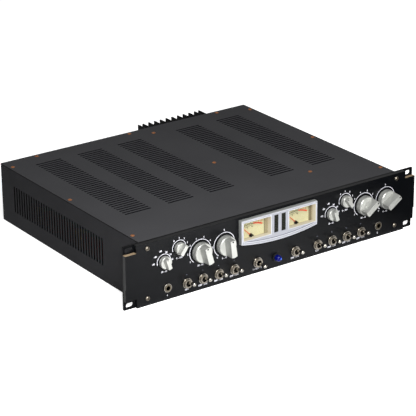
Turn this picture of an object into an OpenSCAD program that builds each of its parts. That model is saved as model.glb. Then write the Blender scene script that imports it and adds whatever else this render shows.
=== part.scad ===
// Two-channel microphone preamplifier for a 19 inch rack, two units high.
// Twin needle meters sit between two rows of pointer knobs, with a row of toggle
// switches below, a folded steel chassis behind and a finned heat sink at the back.
// Sizes are in millimetres. Facing the front, +X is to the right, +Y runs away to
// the back and +Z is up. The origin is the middle of the footprint, at the bottom.

/* [Rack plate] */
// Width over the rack ears
rack_w = 482.6; // [476:0.1:490]
// Height of the rack plate and of the front panel
rack_h = 88.1; // [87:0.1:92]
// Thickness of the rack plate
plate_t = 3.2; // [2.5:0.1:4]
// Distance between the left and right ear slots
slot_span_x = 465.1; // [462:0.1:467]
// Distance between the lower and upper ear slots
slot_span_z = 76.2; // [75:0.1:77]
// Length of an ear slot, end to end
slot_l = 12; // [9:0.1:14]
// Height of an ear slot
slot_w = 7; // [6.4:0.1:7.4]

/* [Front panel] */
// Thickness of the upper part of the front panel
panel_t = 5.8; // [5.2:0.1:7]
// Thickness of the lower part, under the step
lower_t = 4.1; // [3.5:0.1:5]
// Height of the step that runs across the front panel
step_z = 30; // [29.5:0.1:31]
// Half of the width between the notches around the ear slots
notch_x = 224; // [221:0.1:225]
// Height of the two upper notches
notch_top_h = 10.6; // [10.2:0.1:12]
// Height of the two lower notches
notch_low_h = 12.9; // [11:0.1:14]
// Distance of the panel screws from the chassis sides
panel_screw_inset = 5.6; // [5:0.1:6.4]
// Distance of the upper panel screws below the top of the cover
screw_top_drop = 6.2; // [6:0.1:7]
// Distance of the lower panel screws above the chassis floor
screw_low_rise = 9; // [8:0.1:10]
// Diameter of the panel screws' thread
panel_screw_d = 3.8; // [3.5:0.1:4]
// Diameter of the panel screws' head
panel_head_d = 6.6; // [6:0.1:7.4]

/* [Chassis] */
// Width over the side walls
chassis_w = 426.6; // [424:0.1:430]
// Depth from the rack plate to the back
chassis_d = 358.8; // [340:0.1:380]
// Height of the chassis above the lower edge of the rack plate
chassis_lift = 1.2; // [0.8:0.1:2]
// Height from the chassis floor to the top of the cover
chassis_h = 85.7; // [84:0.1:86]
// Thickness of the folded sheet
sheet_t = 1.6; // [1.2:0.1:2]
// Width of the flanges folded inwards
flange_w = 12; // [11:0.1:13]
// Gap around the top cover and the rear panel
sheet_gap = 0.3; // [0.2:0.05:0.4]

/* [Cover screws] */
// Distance of the side rows of cover screws from the chassis sides
cover_row_inset = 5.8; // [4.8:0.1:6.4]
// Distance of the side rows' first screws behind the rack plate
cover_row_start = 25.3; // [22:0.1:28]
// Distance of the side rows' last screws from the chassis back
cover_row_end = 24.5; // [22:0.1:28]
// Distance of the back row's outer screws from the chassis sides
back_row_side = 55.3; // [50:0.1:60]
// Distance of the back row from the chassis back
back_row_inset = 6.5; // [6:0.1:7]
// Diameter of the cover screws' thread
cover_screw_d = 2.9; // [2.5:0.1:3]
// Diameter of the cover screws' head
cover_head_d = 5.8; // [5:0.1:6.4]
// Height of the cover screws' head
cover_head_h = 1.1; // [0.8:0.1:1.2]

/* [Vents] */
// Places of the five groups of top slots across the cover
vent_group_x = [-155.8, -87, -19, 83.8, 157.2];
// Length of a top slot
vent_slot_l = 41; // [36:0.5:44]
// Width of every vent slot
vent_slot_w = 3; // [2.4:0.1:3.6]
// Step from one vent slot to the next
vent_pitch = 6.8; // [6.2:0.1:7]
// Distance of the first slot from the rack plate's front face
vent_start_y = 94.5; // [88:0.5:100]
// Least distance of the last slot from the chassis back
vent_end_inset = 34; // [30:0.5:60]
// Lower end of the side slots
side_vent_low_z = 23.2; // [20:0.1:26]
// Upper end of the side slots
side_vent_top_z = 62.4; // [56:0.1:68]

/* [Knobs] */
// Distance of the first channel's input knob from the chassis side
input_inset = 30.8; // [29:0.1:33]
// Distance of the first channel's trim knob from the bezel
trim_gap = 23.5; // [22:0.1:26]
// Distance of the second channel's trim knob from the chassis side
trim_inset = 25.2; // [23:0.1:26.6]
// Places of the input, filter, gain and trim knobs, as shares of their row
control_share = [0, 0.2513, 0.5969, 1];
// Distances of the input, filter, gain and trim knobs below the top of the cover
control_drop = [30.9, 17.4, 30.9, 30.9];
// Pointer angles, clockwise from straight up, of each channel's four knobs
pointer_deg = [[-18, 36, -15, -7], [-18, -36, 54, 57]];
// Diameter of the large knobs
big_knob_d = 27; // [25:0.1:29]
// Height of the large knobs' round skirt
big_skirt_h = 8.6; // [7.4:0.1:12]
// Height of the large knobs
big_knob_h = 21; // [18:0.1:24]
// Diameter of the small knobs
small_knob_d = 16.6; // [16.2:0.1:18]
// Height of the small knobs' round skirt
small_skirt_h = 6; // [5.4:0.1:7]
// Height of the small knobs
small_knob_h = 12; // [11.6:0.1:14]
// Gap between the knobs and the front panel
knob_gap = 0.8; // [0.5:0.1:1.2]
// Diameter of the control shafts
shaft_d = 6; // [5:0.1:6.35]
// Diameter of the controls' threaded bushing
bushing_d = 9.4; // [9:0.1:9.6]
// Running clearance around a shaft
shaft_fit = 0.06; // [0.04:0.01:0.08]
// Diameter of the selector switches behind the panel
switch_d = 25; // [22:0.5:27]
// Depth of the selector switches
switch_depth = 26; // [20:0.5:32]
// Diameter of the trim controls behind the panel
pot_d = 20; // [16:0.5:21]
// Depth of the trim controls
pot_depth = 13; // [10:0.5:20]

/* [Toggle switches] */
// Distance of the nearest channel toggle from the middle
toggle_first_x = 70; // [68:0.1:72]
// Step between the channel toggles
toggle_pitch = 25.4; // [25:0.1:26]
// Distance of the two middle toggles from the middle
mid_toggle_x = 31.75; // [30:0.05:34]
// Height of all the toggles
toggle_z = 15.7; // [15:0.1:16.4]
// Diameter of the toggles' threaded bushing
toggle_bush_d = 11.6; // [11:0.1:12]
// Bore of the toggles' bushing
toggle_bore_d = 8; // [7.6:0.1:8.4]
// Outer diameter of the toggles' nut
toggle_nut_d = 14.4; // [13.6:0.1:15]
// Length of the lever in front of its pivot
lever_l = 22.4; // [20:0.1:24]
// Angle of the lever from straight out
lever_deg = 11.5; // [10:0.5:12]
// Diameter of the lever's tip
lever_tip_d = 5.4; // [4.8:0.1:5.8]

/* [Meters] */
// Width of the bezel's frame beside a window
bezel_margin = 3; // [2:0.1:4]
// Distance of the bezel's top edge below the top of the cover
bezel_top_drop = 2.7; // [2:0.1:4]
// Height of the bezel's straight sides
bezel_side_h = 34.3; // [34:0.1:36]
// Drop of the curved lower edge below its corners
bezel_sag = 6.3; // [5:0.1:7]
// Thickness of the bezel
bezel_t = 7.2; // [5:0.1:8]
// Distance of a meter's middle from the middle of the panel
meter_x = 37.7; // [37.4:0.1:38]
// Width of a meter window
window_w = 45; // [44:0.1:45.4]
// Height of a meter window
window_h = 25.4; // [24:0.1:26.4]
// Distance of the meter windows below the bezel's top edge
window_drop = 3.6; // [3:0.1:5]
// Depth of a meter case
meter_depth = 26; // [22:0.5:34]
// Wall of a meter case
meter_wall = 1.2; // [1:0.1:1.4]
// Distance of the dial behind the bezel's front
dial_depth = 16.5; // [14:0.1:18]
// Height of the needle's pivot above the lower edge of the windows
pivot_rise = -1; // [-1.2:0.1:0.6]
// Length of the needle from its pivot
needle_l = 19.5; // [17:0.1:20.5]
// Angle of the resting needle, to the left of straight up
needle_deg = 46; // [40:1:50]
// Width of a light column
column_w = 6.4; // [5.6:0.1:7]
// Height of a light column
column_h = 24.6; // [23:0.1:26.6]
// Distance of a light column from the middle
column_x = 6.1; // [5.8:0.1:6.6]

/* [Lamp and jacks] */
// Height of the pilot lamp
lamp_z = 14.6; // [13:0.1:17]
// Diameter of the pilot lamp's lens
lamp_d = 9.2; // [8:0.1:10]
// Diameter of the pilot lamp's ring
lamp_ring_d = 12; // [11.4:0.1:13]
// Height of the small lights over the channel toggles
light_z = 27.6; // [27:0.1:28]
// Diameter of the small lights
light_d = 2.4; // [2:0.1:2.6]
// Height of the instrument jacks
jack_z = 17.2; // [16:0.1:18]
// Bore of the instrument jacks, for a quarter inch plug
jack_bore_d = 6.5; // [6.4:0.01:6.6]
// Depth of the instrument jacks' bore
jack_bore_l = 32; // [28:0.5:36]
// Outer diameter of the jacks' nut
jack_nut_d = 12.2; // [11.6:0.1:13]

/* [Heat sink] */
// Distance of the heat sink's middle from the right side of the chassis
sink_inset = 121.1; // [119:0.1:124]
// Number of fins
fin_count = 12; // [8:1:12]
// Step between the inner fins
fin_pitch = 10.45; // [10:0.05:10.6]
// Step from the outer fin to the next at both ends
fin_end_pitch = 8; // [7:0.1:9]
// Thickness of a fin
fin_t = 2; // [1.6:0.1:2.6]
// Thickness of the heat sink's base
sink_base_t = 4; // [3:0.1:6]
// Distance of the fins' tips from the chassis back
sink_depth = 26; // [20:0.5:34]
// Height of the heat sink's lower edge
sink_low_z = 8; // [5:0.5:12]
// Distance of the heat sink's upper edge below the top of the cover
sink_top_drop = 2.9; // [2:0.1:7]

/* [Rear connectors] */
// Height of the rear connectors
rear_z = 44; // [40:0.5:48]
// Distance of the first channel's microphone input from the chassis side
mic_inset = 27.3; // [26:0.1:30]
// Step from a microphone input to the output beside it
rear_step = 40; // [34:0.5:44]
// Step from the first channel's connectors to the second's
rear_channel_step = 104; // [100:0.5:110]
// Width of a round connector's flange
flange_x = 26; // [25.6:0.1:28]
// Height of a round connector's flange
flange_z = 31; // [30:0.1:33]
// Diameter of a round connector's barrel
barrel_d = 23.6; // [23:0.1:24]
// Bore of the output connectors' shell
shell_bore_d = 16.2; // [16:0.1:16.6]
// Distance of the mains inlet from the chassis side
inlet_inset = 30.3; // [29:0.1:33]

/* [Inside] */
// Height of the standoffs under the circuit boards
standoff_h = 8; // [6:0.5:10]
// Thickness of the circuit boards
board_t = 1.6; // [1.5:0.1:2]
// Place of the divider between the amplifier and the mains supply
divider_x = 31; // [29:0.5:33]
// Outer diameter of the mains transformer
toroid_d = 116; // [100:1:124]
// Diameter of the hole through the mains transformer
toroid_hole_d = 36; // [30:1:44]
// Height of the mains transformer
toroid_h = 46; // [38:1:50]
// Diameter of the smoothing capacitors
smoothing_d = 30; // [22:1:32]
// Height of the smoothing capacitors
smoothing_h = 42; // [30:1:46]
// Step between the smoothing capacitors
smoothing_pitch = 36; // [34:0.5:40]
// Size of a film capacitor: thickness, length and height
film_size = [11, 26, 24];
// Distance of the film capacitors from the side wall
film_inset = 21; // [18:0.5:26]
// Number of film capacitors
film_count = 6; // [4:1:6]

/* [Hidden] */

$fn = 48;
eps = 0.01;

black = [0.12, 0.12, 0.13];
cover_grey = [0.26, 0.26, 0.27];
silver = [0.84, 0.84, 0.86];
knob_grey = [0.82, 0.82, 0.79];
steel = [0.62, 0.62, 0.64];

// Levels of the chassis
floor_z = chassis_lift;
floor_top_z = floor_z + sheet_t;
cover_z = chassis_lift + chassis_h;
deck_z = cover_z - sheet_t;
board_z = floor_top_z + standoff_h;
board_top_z = board_z + board_t;
back_y = plate_t + chassis_d;
inner_back_y = back_y - sheet_t;
side_x = chassis_w / 2;
inner_side_x = side_x - sheet_t;

// The farthest reach to the front and to the back sets the middle of the footprint
front_reach = panel_t + knob_gap + big_knob_h;
rear_reach = back_y + sink_depth;
rack_y = (front_reach - rear_reach) / 2;

// Clearances, and the overlap that joins two shapes of one piece
cut_gap = 0.2;
thread_gap = 0.1;
lever_gap = 0.3;
edge_gap = 0.3;
join = 0.5;

// Numbers of the four controls of a channel
INPUT = 0;
FILTER = 1;
GAIN = 2;
TRIM = 3;
channels = [0, 1];
controls = [INPUT, FILTER, GAIN, TRIM];

// Front panel: the toggles, jacks and lamp sit on its lower part
low_front_y = -lower_t;
screw_x = side_x - panel_screw_inset;
screw_top_z = cover_z - screw_top_drop;
screw_low_z = floor_z + screw_low_rise;
panel_head_h = 2.2;
panel_screw_end = plate_t + sheet_t + 3;

// Cover screws and vents
cover_row_x = side_x - cover_row_inset;
cover_row_front_y = plate_t + cover_row_start;
cover_row_back_y = back_y - cover_row_end;
cover_row_middle_y = (cover_row_front_y + cover_row_back_y) / 2;
cover_screw_end = deck_z - sheet_t - 2;
vent_count = 1 + floor((back_y - vent_end_inset - vent_start_y) / vent_pitch);

// The controls lie in a row from the first knob to the last, and both channels' rows are equal
first_input_x = -side_x + input_inset;
last_trim_x = side_x - trim_inset;
bezel_half_w = meter_x + window_w / 2 + bezel_margin;
row_l = -bezel_half_w - trim_gap - first_input_x;
row_start_x = [first_input_x, last_trim_x - row_l];

// Controls: a bushing through the panel, a nut, a shaft and a hollow in the knob for them
nut_t = 2.2;
nut_af = bushing_d + 1.6;
bush_stand = 2.7;
nut_recess_d = nut_af / cos(30) + 0.9;
nut_recess_h = 3.4;
shaft_inner = 5;
switch_gap = 2;
big_bar = [10, 8.4, 7.6];
small_bar = [7, 5.4, 4.8];
bar_end = 0.9;
dot_place = 0.78;
dot_size = 0.055;
dot_depth = 0.5;

// Toggle switches
toggle_nut_t = 2.2;
toggle_bush_l = 5;
toggle_pivot_y = low_front_y + 2.1;
toggle_body = [13, 20, 18];
toggle_bore_l = 8;
toggle_ball_d = toggle_bore_d - 2 * lever_gap;
lever_neck_d = 3;
lever_tail_d = 2;
lever_tail_l = 4;

// Jacks midway between the outer toggle and the chassis flange, lamp and small lights
outer_toggle_x = toggle_first_x + 3 * toggle_pitch;
jack_x = (outer_toggle_x + toggle_body[0] / 2 + side_x - flange_w) / 2;
jack_bush_l = 2.6;
jack_nut_t = 2.1;
jack_body_w = 16;
jack_body_h = 17;
jack_wall = 2;
lamp_stand = 5.2;
lamp_ring_t = 2.4;
lamp_l = 12;

// Meters
bezel_top_z = cover_z - bezel_top_drop;
bezel_corner_z = bezel_top_z - bezel_side_h;
window_top_z = bezel_top_z - window_drop;
window_low_z = window_top_z - window_h;
bezel_front_y = -panel_t - bezel_t;
bezel_bevel = 0.6;
dial_y = bezel_front_y + dial_depth;
case_inner_w = window_w + 0.2;
case_inner_low_z = window_low_z - 3.8;
case_inner_top_z = window_top_z + 0.2;
case_w = case_inner_w + 2 * meter_wall;
case_low_z = case_inner_low_z - meter_wall;
case_top_z = case_inner_top_z + meter_wall;
pivot_z = window_low_z + pivot_rise;
meter_centre_z = (window_low_z + window_top_z) / 2;
glass_t = 1.5;
dial_t = 0.8;
pin_d = 1;
pin_stand = 0.4;
hub_d = 4.8;
hub_t = 1.8;
hub_gap = 0.3;
needle_t = 0.4;
needle_root_w = 1.4;
needle_point_w = 0.5;
column_recess = 0.5;
column_l = 12;

// Heat sink and power transistors
sink_x = side_x - sink_inset;
sink_top_z = cover_z - sink_top_drop;
sink_inner_w = (fin_count - 3) * fin_pitch;
sink_w = sink_inner_w + 2 * fin_end_pitch + fin_t;
sink_z = [sink_low_z, sink_top_z];
sink_screw_inset = 14;
sink_head_d = 7;
sink_head_h = 2.4;
transistor_size = [16, 5, 21];

// Rear connectors, all with their mouth in one plane
mic_x = -side_x + mic_inset;
inlet_x = side_x - inlet_inset;
connector_flange_t = 2;
mouth_y = back_y + connector_flange_t;
connector_depth = 20;
socket_depth = 13;
groove_w = 1.75;
insert_recess = 0.3;
contact_circle_r = 3.6;
contact_hole_d = 2.6;
contact_pin_d = 2.3;
contact_recess = 4.5;
inlet_size = [48, 24];
inlet_body = [28, 20];
inlet_mouth = [24.4, 16.4];
inlet_depth = 22;
inlet_cavity = 16;
blade_size = [2, 4];
blade_places = [[-7, -2], [0, 2], [7, -2]];

// Boards, divider and the post under the cover's field screw
board_edge = 5;
audio_board_back_gap = 17;
audio_board_y = [72, back_y - audio_board_back_gap];
supply_board_y = [88, 160];
standoff_d = 6;
standoff_inset = 7;
standoff_middle_x = -90;
board_screw_d = 3;
board_head_d = 5.6;
board_head_h = 2;
divider_back_gap = 12;
divider_y = [60, back_y - divider_back_gap];
divider_flange = 12;
divider_left = divider_x - divider_flange / 2;
divider_right = divider_x + divider_flange / 2;
supply_board_x = [divider_right + board_edge, inner_side_x - board_edge];
post_pos = [118, 74];
post_d = 6;
post_bore_l = 8;

// Mains transformer between two soft pads, under a clamping disc
toroid_pos = [(divider_x + inner_side_x) / 2, (supply_board_y[1] + inner_back_y) / 2];
toroid_pad_t = 1;
toroid_pad_rim = 10;
toroid_fillet = toroid_h * 0.22;
toroid_bolt_d = 8;
toroid_bolt_rise = 10;
toroid_clamp_rim = 12;
toroid_clamp_t = 1.5;
toroid_clamp_z = floor_top_z + toroid_h + 2 * toroid_pad_t;

// Parts on the boards
film_x = -inner_side_x + film_inset;
film_margin = [36, 45];
film_pitch = (audio_board_y[1] - audio_board_y[0] - film_margin[0] - film_margin[1]) / (film_count - 1);
left_transformer_inset = 40.7;
right_transformer_inset = 65;
audio_transformer_x = [film_x + left_transformer_inset, divider_left - right_transformer_inset];
input_transformer_y = 120;
input_transformer_d = 34;
input_transformer_h = 36;
output_transformer_inset = 59;
output_transformer_y = audio_board_y[1] - output_transformer_inset;
output_transformer_size = [40, 36, 38];
smoothing_bevel = 1;
smoothing_pos = [(supply_board_x[0] + supply_board_x[1]) / 2, (supply_board_y[0] + supply_board_y[1]) / 2];

// Every control, as [x, z], for a channel and one of its controls
function control_at(channel, i) =
    [row_start_x[channel] + control_share[i] * row_l, cover_z - control_drop[i]];

// Distances of the ten toggles from the middle, from left to right
function toggle_xs() = concat(
    [for (i = [3:-1:0]) -toggle_first_x - i * toggle_pitch],
    [-mid_toggle_x, mid_toggle_x],
    [for (i = [0:3]) toggle_first_x + i * toggle_pitch]);

// Cover screws, as [x, y] behind the rack plate
function cover_screw_places() = concat(
    [for (side = [-1, 1]) for (y = [cover_row_front_y, cover_row_middle_y, cover_row_back_y])
        [side * cover_row_x, y]],
    [for (side = [-1, 0, 1]) [side * (side_x - back_row_side), back_y - back_row_inset]],
    [for (y = [cover_row_middle_y, cover_row_back_y]) [divider_x, y]],
    [post_pos]);

function vent_y(i) = vent_start_y + i * vent_pitch;
function fin_x(i) = sink_x - sink_inner_w / 2
    + (i == 0 ? -fin_end_pitch
        : i == fin_count - 1 ? sink_inner_w + fin_end_pitch
        : (i - 1) * fin_pitch);

// Puts a shape, drawn with Y from the rack plate's front face, into the part's frame
module from_rack() {
    translate([0, rack_y, 0]) children();
}

// A block from its corner x, y, z ranges
module span(x, y, z) {
    translate([x[0], y[0], z[0]]) cube([x[1] - x[0], y[1] - y[0], z[1] - z[0]]);
}

// A block centred on x and z, running from y0 to y1
module block_y(x, z, w, h, y0, y1) {
    span([x - w / 2, x + w / 2], [y0, y1], [z - h / 2, z + h / 2]);
}

// A round bar along Y at x, z, running from y0 to y1
module rod_y(x, z, d, y0, y1) {
    translate([x, y1, z]) rotate([90, 0, 0]) cylinder(d = d, h = y1 - y0);
}

// A tube along Y
module tube_y(x, z, d, bore, y0, y1) {
    difference() {
        rod_y(x, z, d, y0, y1);
        rod_y(x, z, bore, y0 - 1, y1 + 1);
    }
}

// A round bar along Z
module rod_z(x, y, d, z0, z1) {
    translate([x, y, z0]) cylinder(d = d, h = z1 - z0);
}

// The four rounded slots of the rack ears, cut from y0 to y1
module ear_slots(y0, y1) {
    for (sx = [-1, 1]) for (sz = [-1, 1]) {
        x = sx * slot_span_x / 2;
        z = rack_h / 2 + sz * slot_span_z / 2;
        block_y(x, z, slot_l - slot_w, slot_w, y0, y1);
        for (side = [-1, 1]) rod_y(x + side * (slot_l - slot_w) / 2, z, slot_w, y0, y1);
    }
}

// Holes that the front panel and the rack plate share
module front_holes(y0, y1) {
    for (c = channels) for (i = controls) {
        p = control_at(c, i);
        rod_y(p[0], p[1], bushing_d + 2 * cut_gap, y0, y1);
    }
    for (x = toggle_xs()) rod_y(x, toggle_z, toggle_bush_d + 2 * cut_gap, y0, y1);
    for (side = [-1, 1]) {
        rod_y(side * jack_x, jack_z, bushing_d + 2 * cut_gap, y0, y1);
        case_block(side, cut_gap, y0, y1);
        block_y(side * column_x, meter_centre_z, column_w + 2 * cut_gap, column_h + 2 * cut_gap, y0, y1);
        for (z = [screw_low_z, screw_top_z])
            rod_y(side * screw_x, z, panel_screw_d + 2 * thread_gap, y0, y1);
        for (i = [0:3])
            rod_y(side * (toggle_first_x + i * toggle_pitch), light_z, light_d + thread_gap, y0, y1);
    }
    rod_y(0, lamp_z, lamp_d, y0, y1);
}

module rack_plate() color(black) from_rack() difference() {
    block_y(0, rack_h / 2, rack_w, rack_h, 0, plate_t);
    ear_slots(-1, plate_t + 1);
    front_holes(-1, plate_t + 1);
}

// The panel is thicker above the step, and notched around the ear slots
module front_panel() color(black) from_rack() difference() {
    union() {
        block_y(0, step_z / 2, rack_w, step_z, low_front_y, 0);
        block_y(0, (step_z + rack_h) / 2, rack_w, rack_h - step_z, -panel_t, 0);
    }
    for (side = [-1, 1]) {
        x = side * (notch_x + rack_w / 2);
        block_y(x, 0, rack_w, 2 * notch_low_h, -panel_t - 1, 1);
        block_y(x, rack_h, rack_w, 2 * notch_top_h, -panel_t - 1, 1);
    }
    front_holes(-panel_t - 1, 1);
}

// A button head along +Z, with a hexagon socket
module socket_head(d, h) {
    difference() {
        rotate_extrude() polygon([[0, 0], [d / 2, 0], [d / 2, h * 0.4], [d * 0.32, h], [0, h]]);
        translate([0, 0, h * 0.5]) cylinder(d = d * 0.42, h = h, $fn = 6);
    }
}

module panel_screws() color(silver) from_rack() {
    for (side = [-1, 1]) for (low = [true, false]) {
        z = low ? screw_low_z : screw_top_z;
        face = low ? low_front_y : -panel_t;
        translate([side * screw_x, face, z]) rotate([90, 0, 0]) socket_head(panel_head_d, panel_head_h);
        rod_y(side * screw_x, z, panel_screw_d, face - join, panel_screw_end);
    }
}

// Floor, side walls, and the flanges that the plate, cover and rear panel are screwed to
module chassis_tray() color(black) from_rack() difference() {
    union() {
        block_y(0, floor_z + sheet_t / 2, chassis_w, sheet_t, plate_t, back_y);
        for (side = [-1, 1]) {
            x = side * (chassis_w - sheet_t) / 2;
            block_y(x, (floor_z + deck_z) / 2, sheet_t, deck_z - floor_z, plate_t, back_y);
            fold_x = side * (chassis_w - flange_w) / 2;
            block_y(fold_x, deck_z - sheet_t / 2, flange_w, sheet_t, plate_t, inner_back_y - sheet_gap);
            block_y(fold_x, (floor_z + deck_z) / 2, flange_w, deck_z - floor_z, plate_t, plate_t + sheet_t);
        }
    }
    for (side = [-1, 1]) for (i = [0:vent_count - 1]) side_slot(side, vent_y(i));
    cover_screw_holes();
    for (side = [-1, 1]) for (z = [screw_low_z, screw_top_z])
        rod_y(side * screw_x, z, panel_screw_d + 2 * thread_gap, plate_t - 1, plate_t + sheet_t + 1);
}

module side_slot(side, y) {
    block_y(side * (chassis_w - sheet_t) / 2, (side_vent_low_z + side_vent_top_z) / 2, 3 * sheet_t,
        side_vent_top_z - side_vent_low_z, y - vent_slot_w / 2, y + vent_slot_w / 2);
}

module cover_screw_holes() {
    for (p = cover_screw_places())
        rod_z(p[0], p[1], cover_screw_d + 2 * thread_gap, deck_z - sheet_t - 1, cover_z + 1);
}

module top_cover() color(cover_grey) from_rack() difference() {
    block_y(0, cover_z - sheet_t / 2, chassis_w, sheet_t, plate_t + sheet_gap, back_y);
    for (x = vent_group_x) for (i = [0:vent_count - 1])
        block_y(x, cover_z, vent_slot_l, 4 * sheet_t,
            vent_y(i) - vent_slot_w / 2, vent_y(i) + vent_slot_w / 2);
    cover_screw_holes();
}

module cover_screws() color([0.72, 0.4, 0.2]) from_rack() {
    for (p = cover_screw_places()) {
        translate([p[0], p[1], cover_z]) socket_head(cover_head_d, cover_head_h);
        rod_z(p[0], p[1], cover_screw_d, cover_screw_end, cover_z + join / 2);
    }
}

// The rear panel closes the tray, with a flange under the back row of cover screws
module rear_panel() color(black) from_rack() difference() {
    union() {
        block_y(0, (floor_top_z + deck_z) / 2, 2 * (inner_side_x - sheet_gap), deck_z - floor_top_z,
            inner_back_y, back_y);
        block_y(0, deck_z - sheet_t / 2, 2 * (inner_side_x - flange_w - 1), sheet_t,
            back_y - flange_w, back_y);
    }
    for (c = channels) for (step = [0, rear_step])
        rod_y(mic_x + c * rear_channel_step + step, rear_z, barrel_d + 2 * cut_gap,
            inner_back_y - 1, back_y + 1);
    block_y(inlet_x, rear_z, inlet_body[0] + 2 * cut_gap, inlet_body[1] + 2 * cut_gap,
        inner_back_y - 1, back_y + 1);
    sink_screws(panel_screw_d + 2 * thread_gap, inner_back_y - 1, back_y + 1);
    cover_screw_holes();
}

// Shafts of the four screws that hold the heat sink from inside
module sink_screws(d, y0, y1) {
    for (i = [1.5, fin_count - 2.5])
        for (z = [sink_low_z + sink_screw_inset, sink_top_z - sink_screw_inset])
            rod_y(sink_x - sink_inner_w / 2 + (i - 1) * fin_pitch, z, d, y0, y1);
}

module heat_sink() color(black) from_rack() difference() {
    union() {
        span([sink_x - sink_w / 2, sink_x + sink_w / 2], [back_y, back_y + sink_base_t], sink_z);
        for (i = [0:fin_count - 1])
            span([fin_x(i) - fin_t / 2, fin_x(i) + fin_t / 2], [back_y, rear_reach], sink_z);
    }
    sink_screws(panel_screw_d + 2 * thread_gap, back_y - 1, back_y + sink_base_t - edge_gap);
}

module power_transistors() color([0.15, 0.15, 0.16]) from_rack() {
    for (i = [0:3])
        block_y(sink_x + (i - 1.5) * 2 * fin_pitch, rear_z, transistor_size[0], transistor_size[2],
            inner_back_y - transistor_size[1], inner_back_y);
}

// Outline of the bezel: square corners above and one shallow arc below
module bezel_outline(grow = 0) {
    half_w = bezel_half_w + grow;
    arc_r = (half_w * half_w + bezel_sag * bezel_sag) / (2 * bezel_sag);
    intersection() {
        translate([-half_w, bezel_corner_z - bezel_sag - grow])
            square([2 * half_w, bezel_top_z - bezel_corner_z + bezel_sag + 2 * grow]);
        translate([0, bezel_corner_z - bezel_sag - grow + arc_r]) circle(r = arc_r, $fn = 180);
    }
}

module meter_bezel() color(silver) from_rack() difference() {
    translate([0, -panel_t, 0]) rotate([90, 0, 0]) {
        linear_extrude(bezel_t * 0.5) bezel_outline();
        linear_extrude(bezel_t) bezel_outline(-bezel_bevel);
    }
    for (side = [-1, 1]) {
        block_y(side * meter_x, meter_centre_z, window_w, window_top_z - window_low_z,
            bezel_front_y - 1, 0);
        block_y(side * column_x, meter_centre_z, column_w + 2 * cut_gap, column_h + 2 * cut_gap,
            bezel_front_y - 1, 0);
    }
}

// A block across a meter case, grown by a gap on its four sides
module case_block(side, grow, y0, y1) {
    x = side * meter_x;
    span([x - case_w / 2 - grow, x + case_w / 2 + grow], [y0, y1], [case_low_z - grow, case_top_z + grow]);
}

// Open-fronted cases behind the bezel's windows
module meter_cases() color([0.86, 0.83, 0.72]) from_rack() {
    for (side = [-1, 1]) difference() {
        case_block(side, 0, -panel_t, -panel_t + meter_depth);
        case_block(side, -meter_wall, -panel_t - 1, -panel_t + meter_depth - meter_wall);
    }
}

// Dial plates, each with the pin that its needle turns on
module meter_dials() color([0.94, 0.9, 0.62]) from_rack() {
    for (side = [-1, 1]) {
        case_block(side, -meter_wall, dial_y, dial_y + dial_t);
        rod_y(side * meter_x, pivot_z, pin_d, dial_y - hub_gap - hub_t - pin_stand, dial_y + join);
    }
}

module meter_windows() color([0.8, 0.85, 0.88, 0.35]) from_rack() {
    for (side = [-1, 1])
        case_block(side, -meter_wall, -panel_t, -panel_t + glass_t);
}

// A needle with its hub, leaning to the left at rest
module needle(side) color([0.8, 0.15, 0.1]) from_rack()
    translate([side * meter_x, dial_y - hub_gap, pivot_z]) rotate([90, 0, 0]) rotate([0, 0, needle_deg])
    difference() {
        union() {
            cylinder(d = hub_d, h = hub_t);
            translate([0, 0, (hub_t - needle_t) / 2]) linear_extrude(needle_t)
                polygon([[-needle_root_w / 2, 0], [-needle_point_w / 2, needle_l],
                    [needle_point_w / 2, needle_l], [needle_root_w / 2, 0]]);
        }
        translate([0, 0, -1]) cylinder(d = pin_d + 2 * shaft_fit, h = hub_t + 2);
    }

module light_columns() color([0.16, 0.16, 0.14]) from_rack() {
    for (side = [-1, 1])
        block_y(side * column_x, meter_centre_z, column_w, column_h, bezel_front_y + column_recess,
            plate_t + column_l);
}

// Small lights set in the panel over the channel toggles
module status_lights() color([0.3, 0.32, 0.3]) from_rack() {
    for (side = [-1, 1]) for (i = [0:3]) {
        x = side * (toggle_first_x + i * toggle_pitch);
        translate([x, low_front_y, light_z]) sphere(d = light_d);
        rod_y(x, light_z, light_d, low_front_y, plate_t - edge_gap);
    }
}

module pilot_lamp() color([0.05, 0.08, 0.6]) from_rack() {
    translate([0, low_front_y - lamp_stand, lamp_z]) intersection() {
        sphere(d = lamp_d - 2 * thread_gap);
        block_y(0, 0, lamp_d, lamp_d, -lamp_d, 0);
    }
    rod_y(0, lamp_z, lamp_d - 2 * thread_gap, low_front_y - lamp_stand, plate_t + lamp_l);
}

module pilot_ring() color(black) from_rack() {
    tube_y(0, lamp_z, lamp_ring_d, lamp_d, low_front_y - lamp_ring_t, low_front_y);
}

// Jack sockets: a body behind the plate and a bored bushing through to the front
module instrument_jacks() color([0.25, 0.25, 0.26]) from_rack() {
    front = low_front_y - jack_bush_l;
    for (side = [-1, 1]) difference() {
        union() {
            rod_y(side * jack_x, jack_z, bushing_d, front, plate_t + join);
            block_y(side * jack_x, jack_z, jack_body_w, jack_body_h, plate_t,
                front + jack_bore_l + jack_wall);
        }
        rod_y(side * jack_x, jack_z, jack_bore_d, front - 1, front + jack_bore_l);
    }
}

module hex_nut(x, z, y0, y1) {
    difference() {
        translate([x, y1, z]) rotate([90, 0, 0]) cylinder(d = nut_af / cos(30), h = y1 - y0, $fn = 6);
        rod_y(x, z, bushing_d + 2 * thread_gap, y0 - 1, y1 + 1);
    }
}

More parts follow.
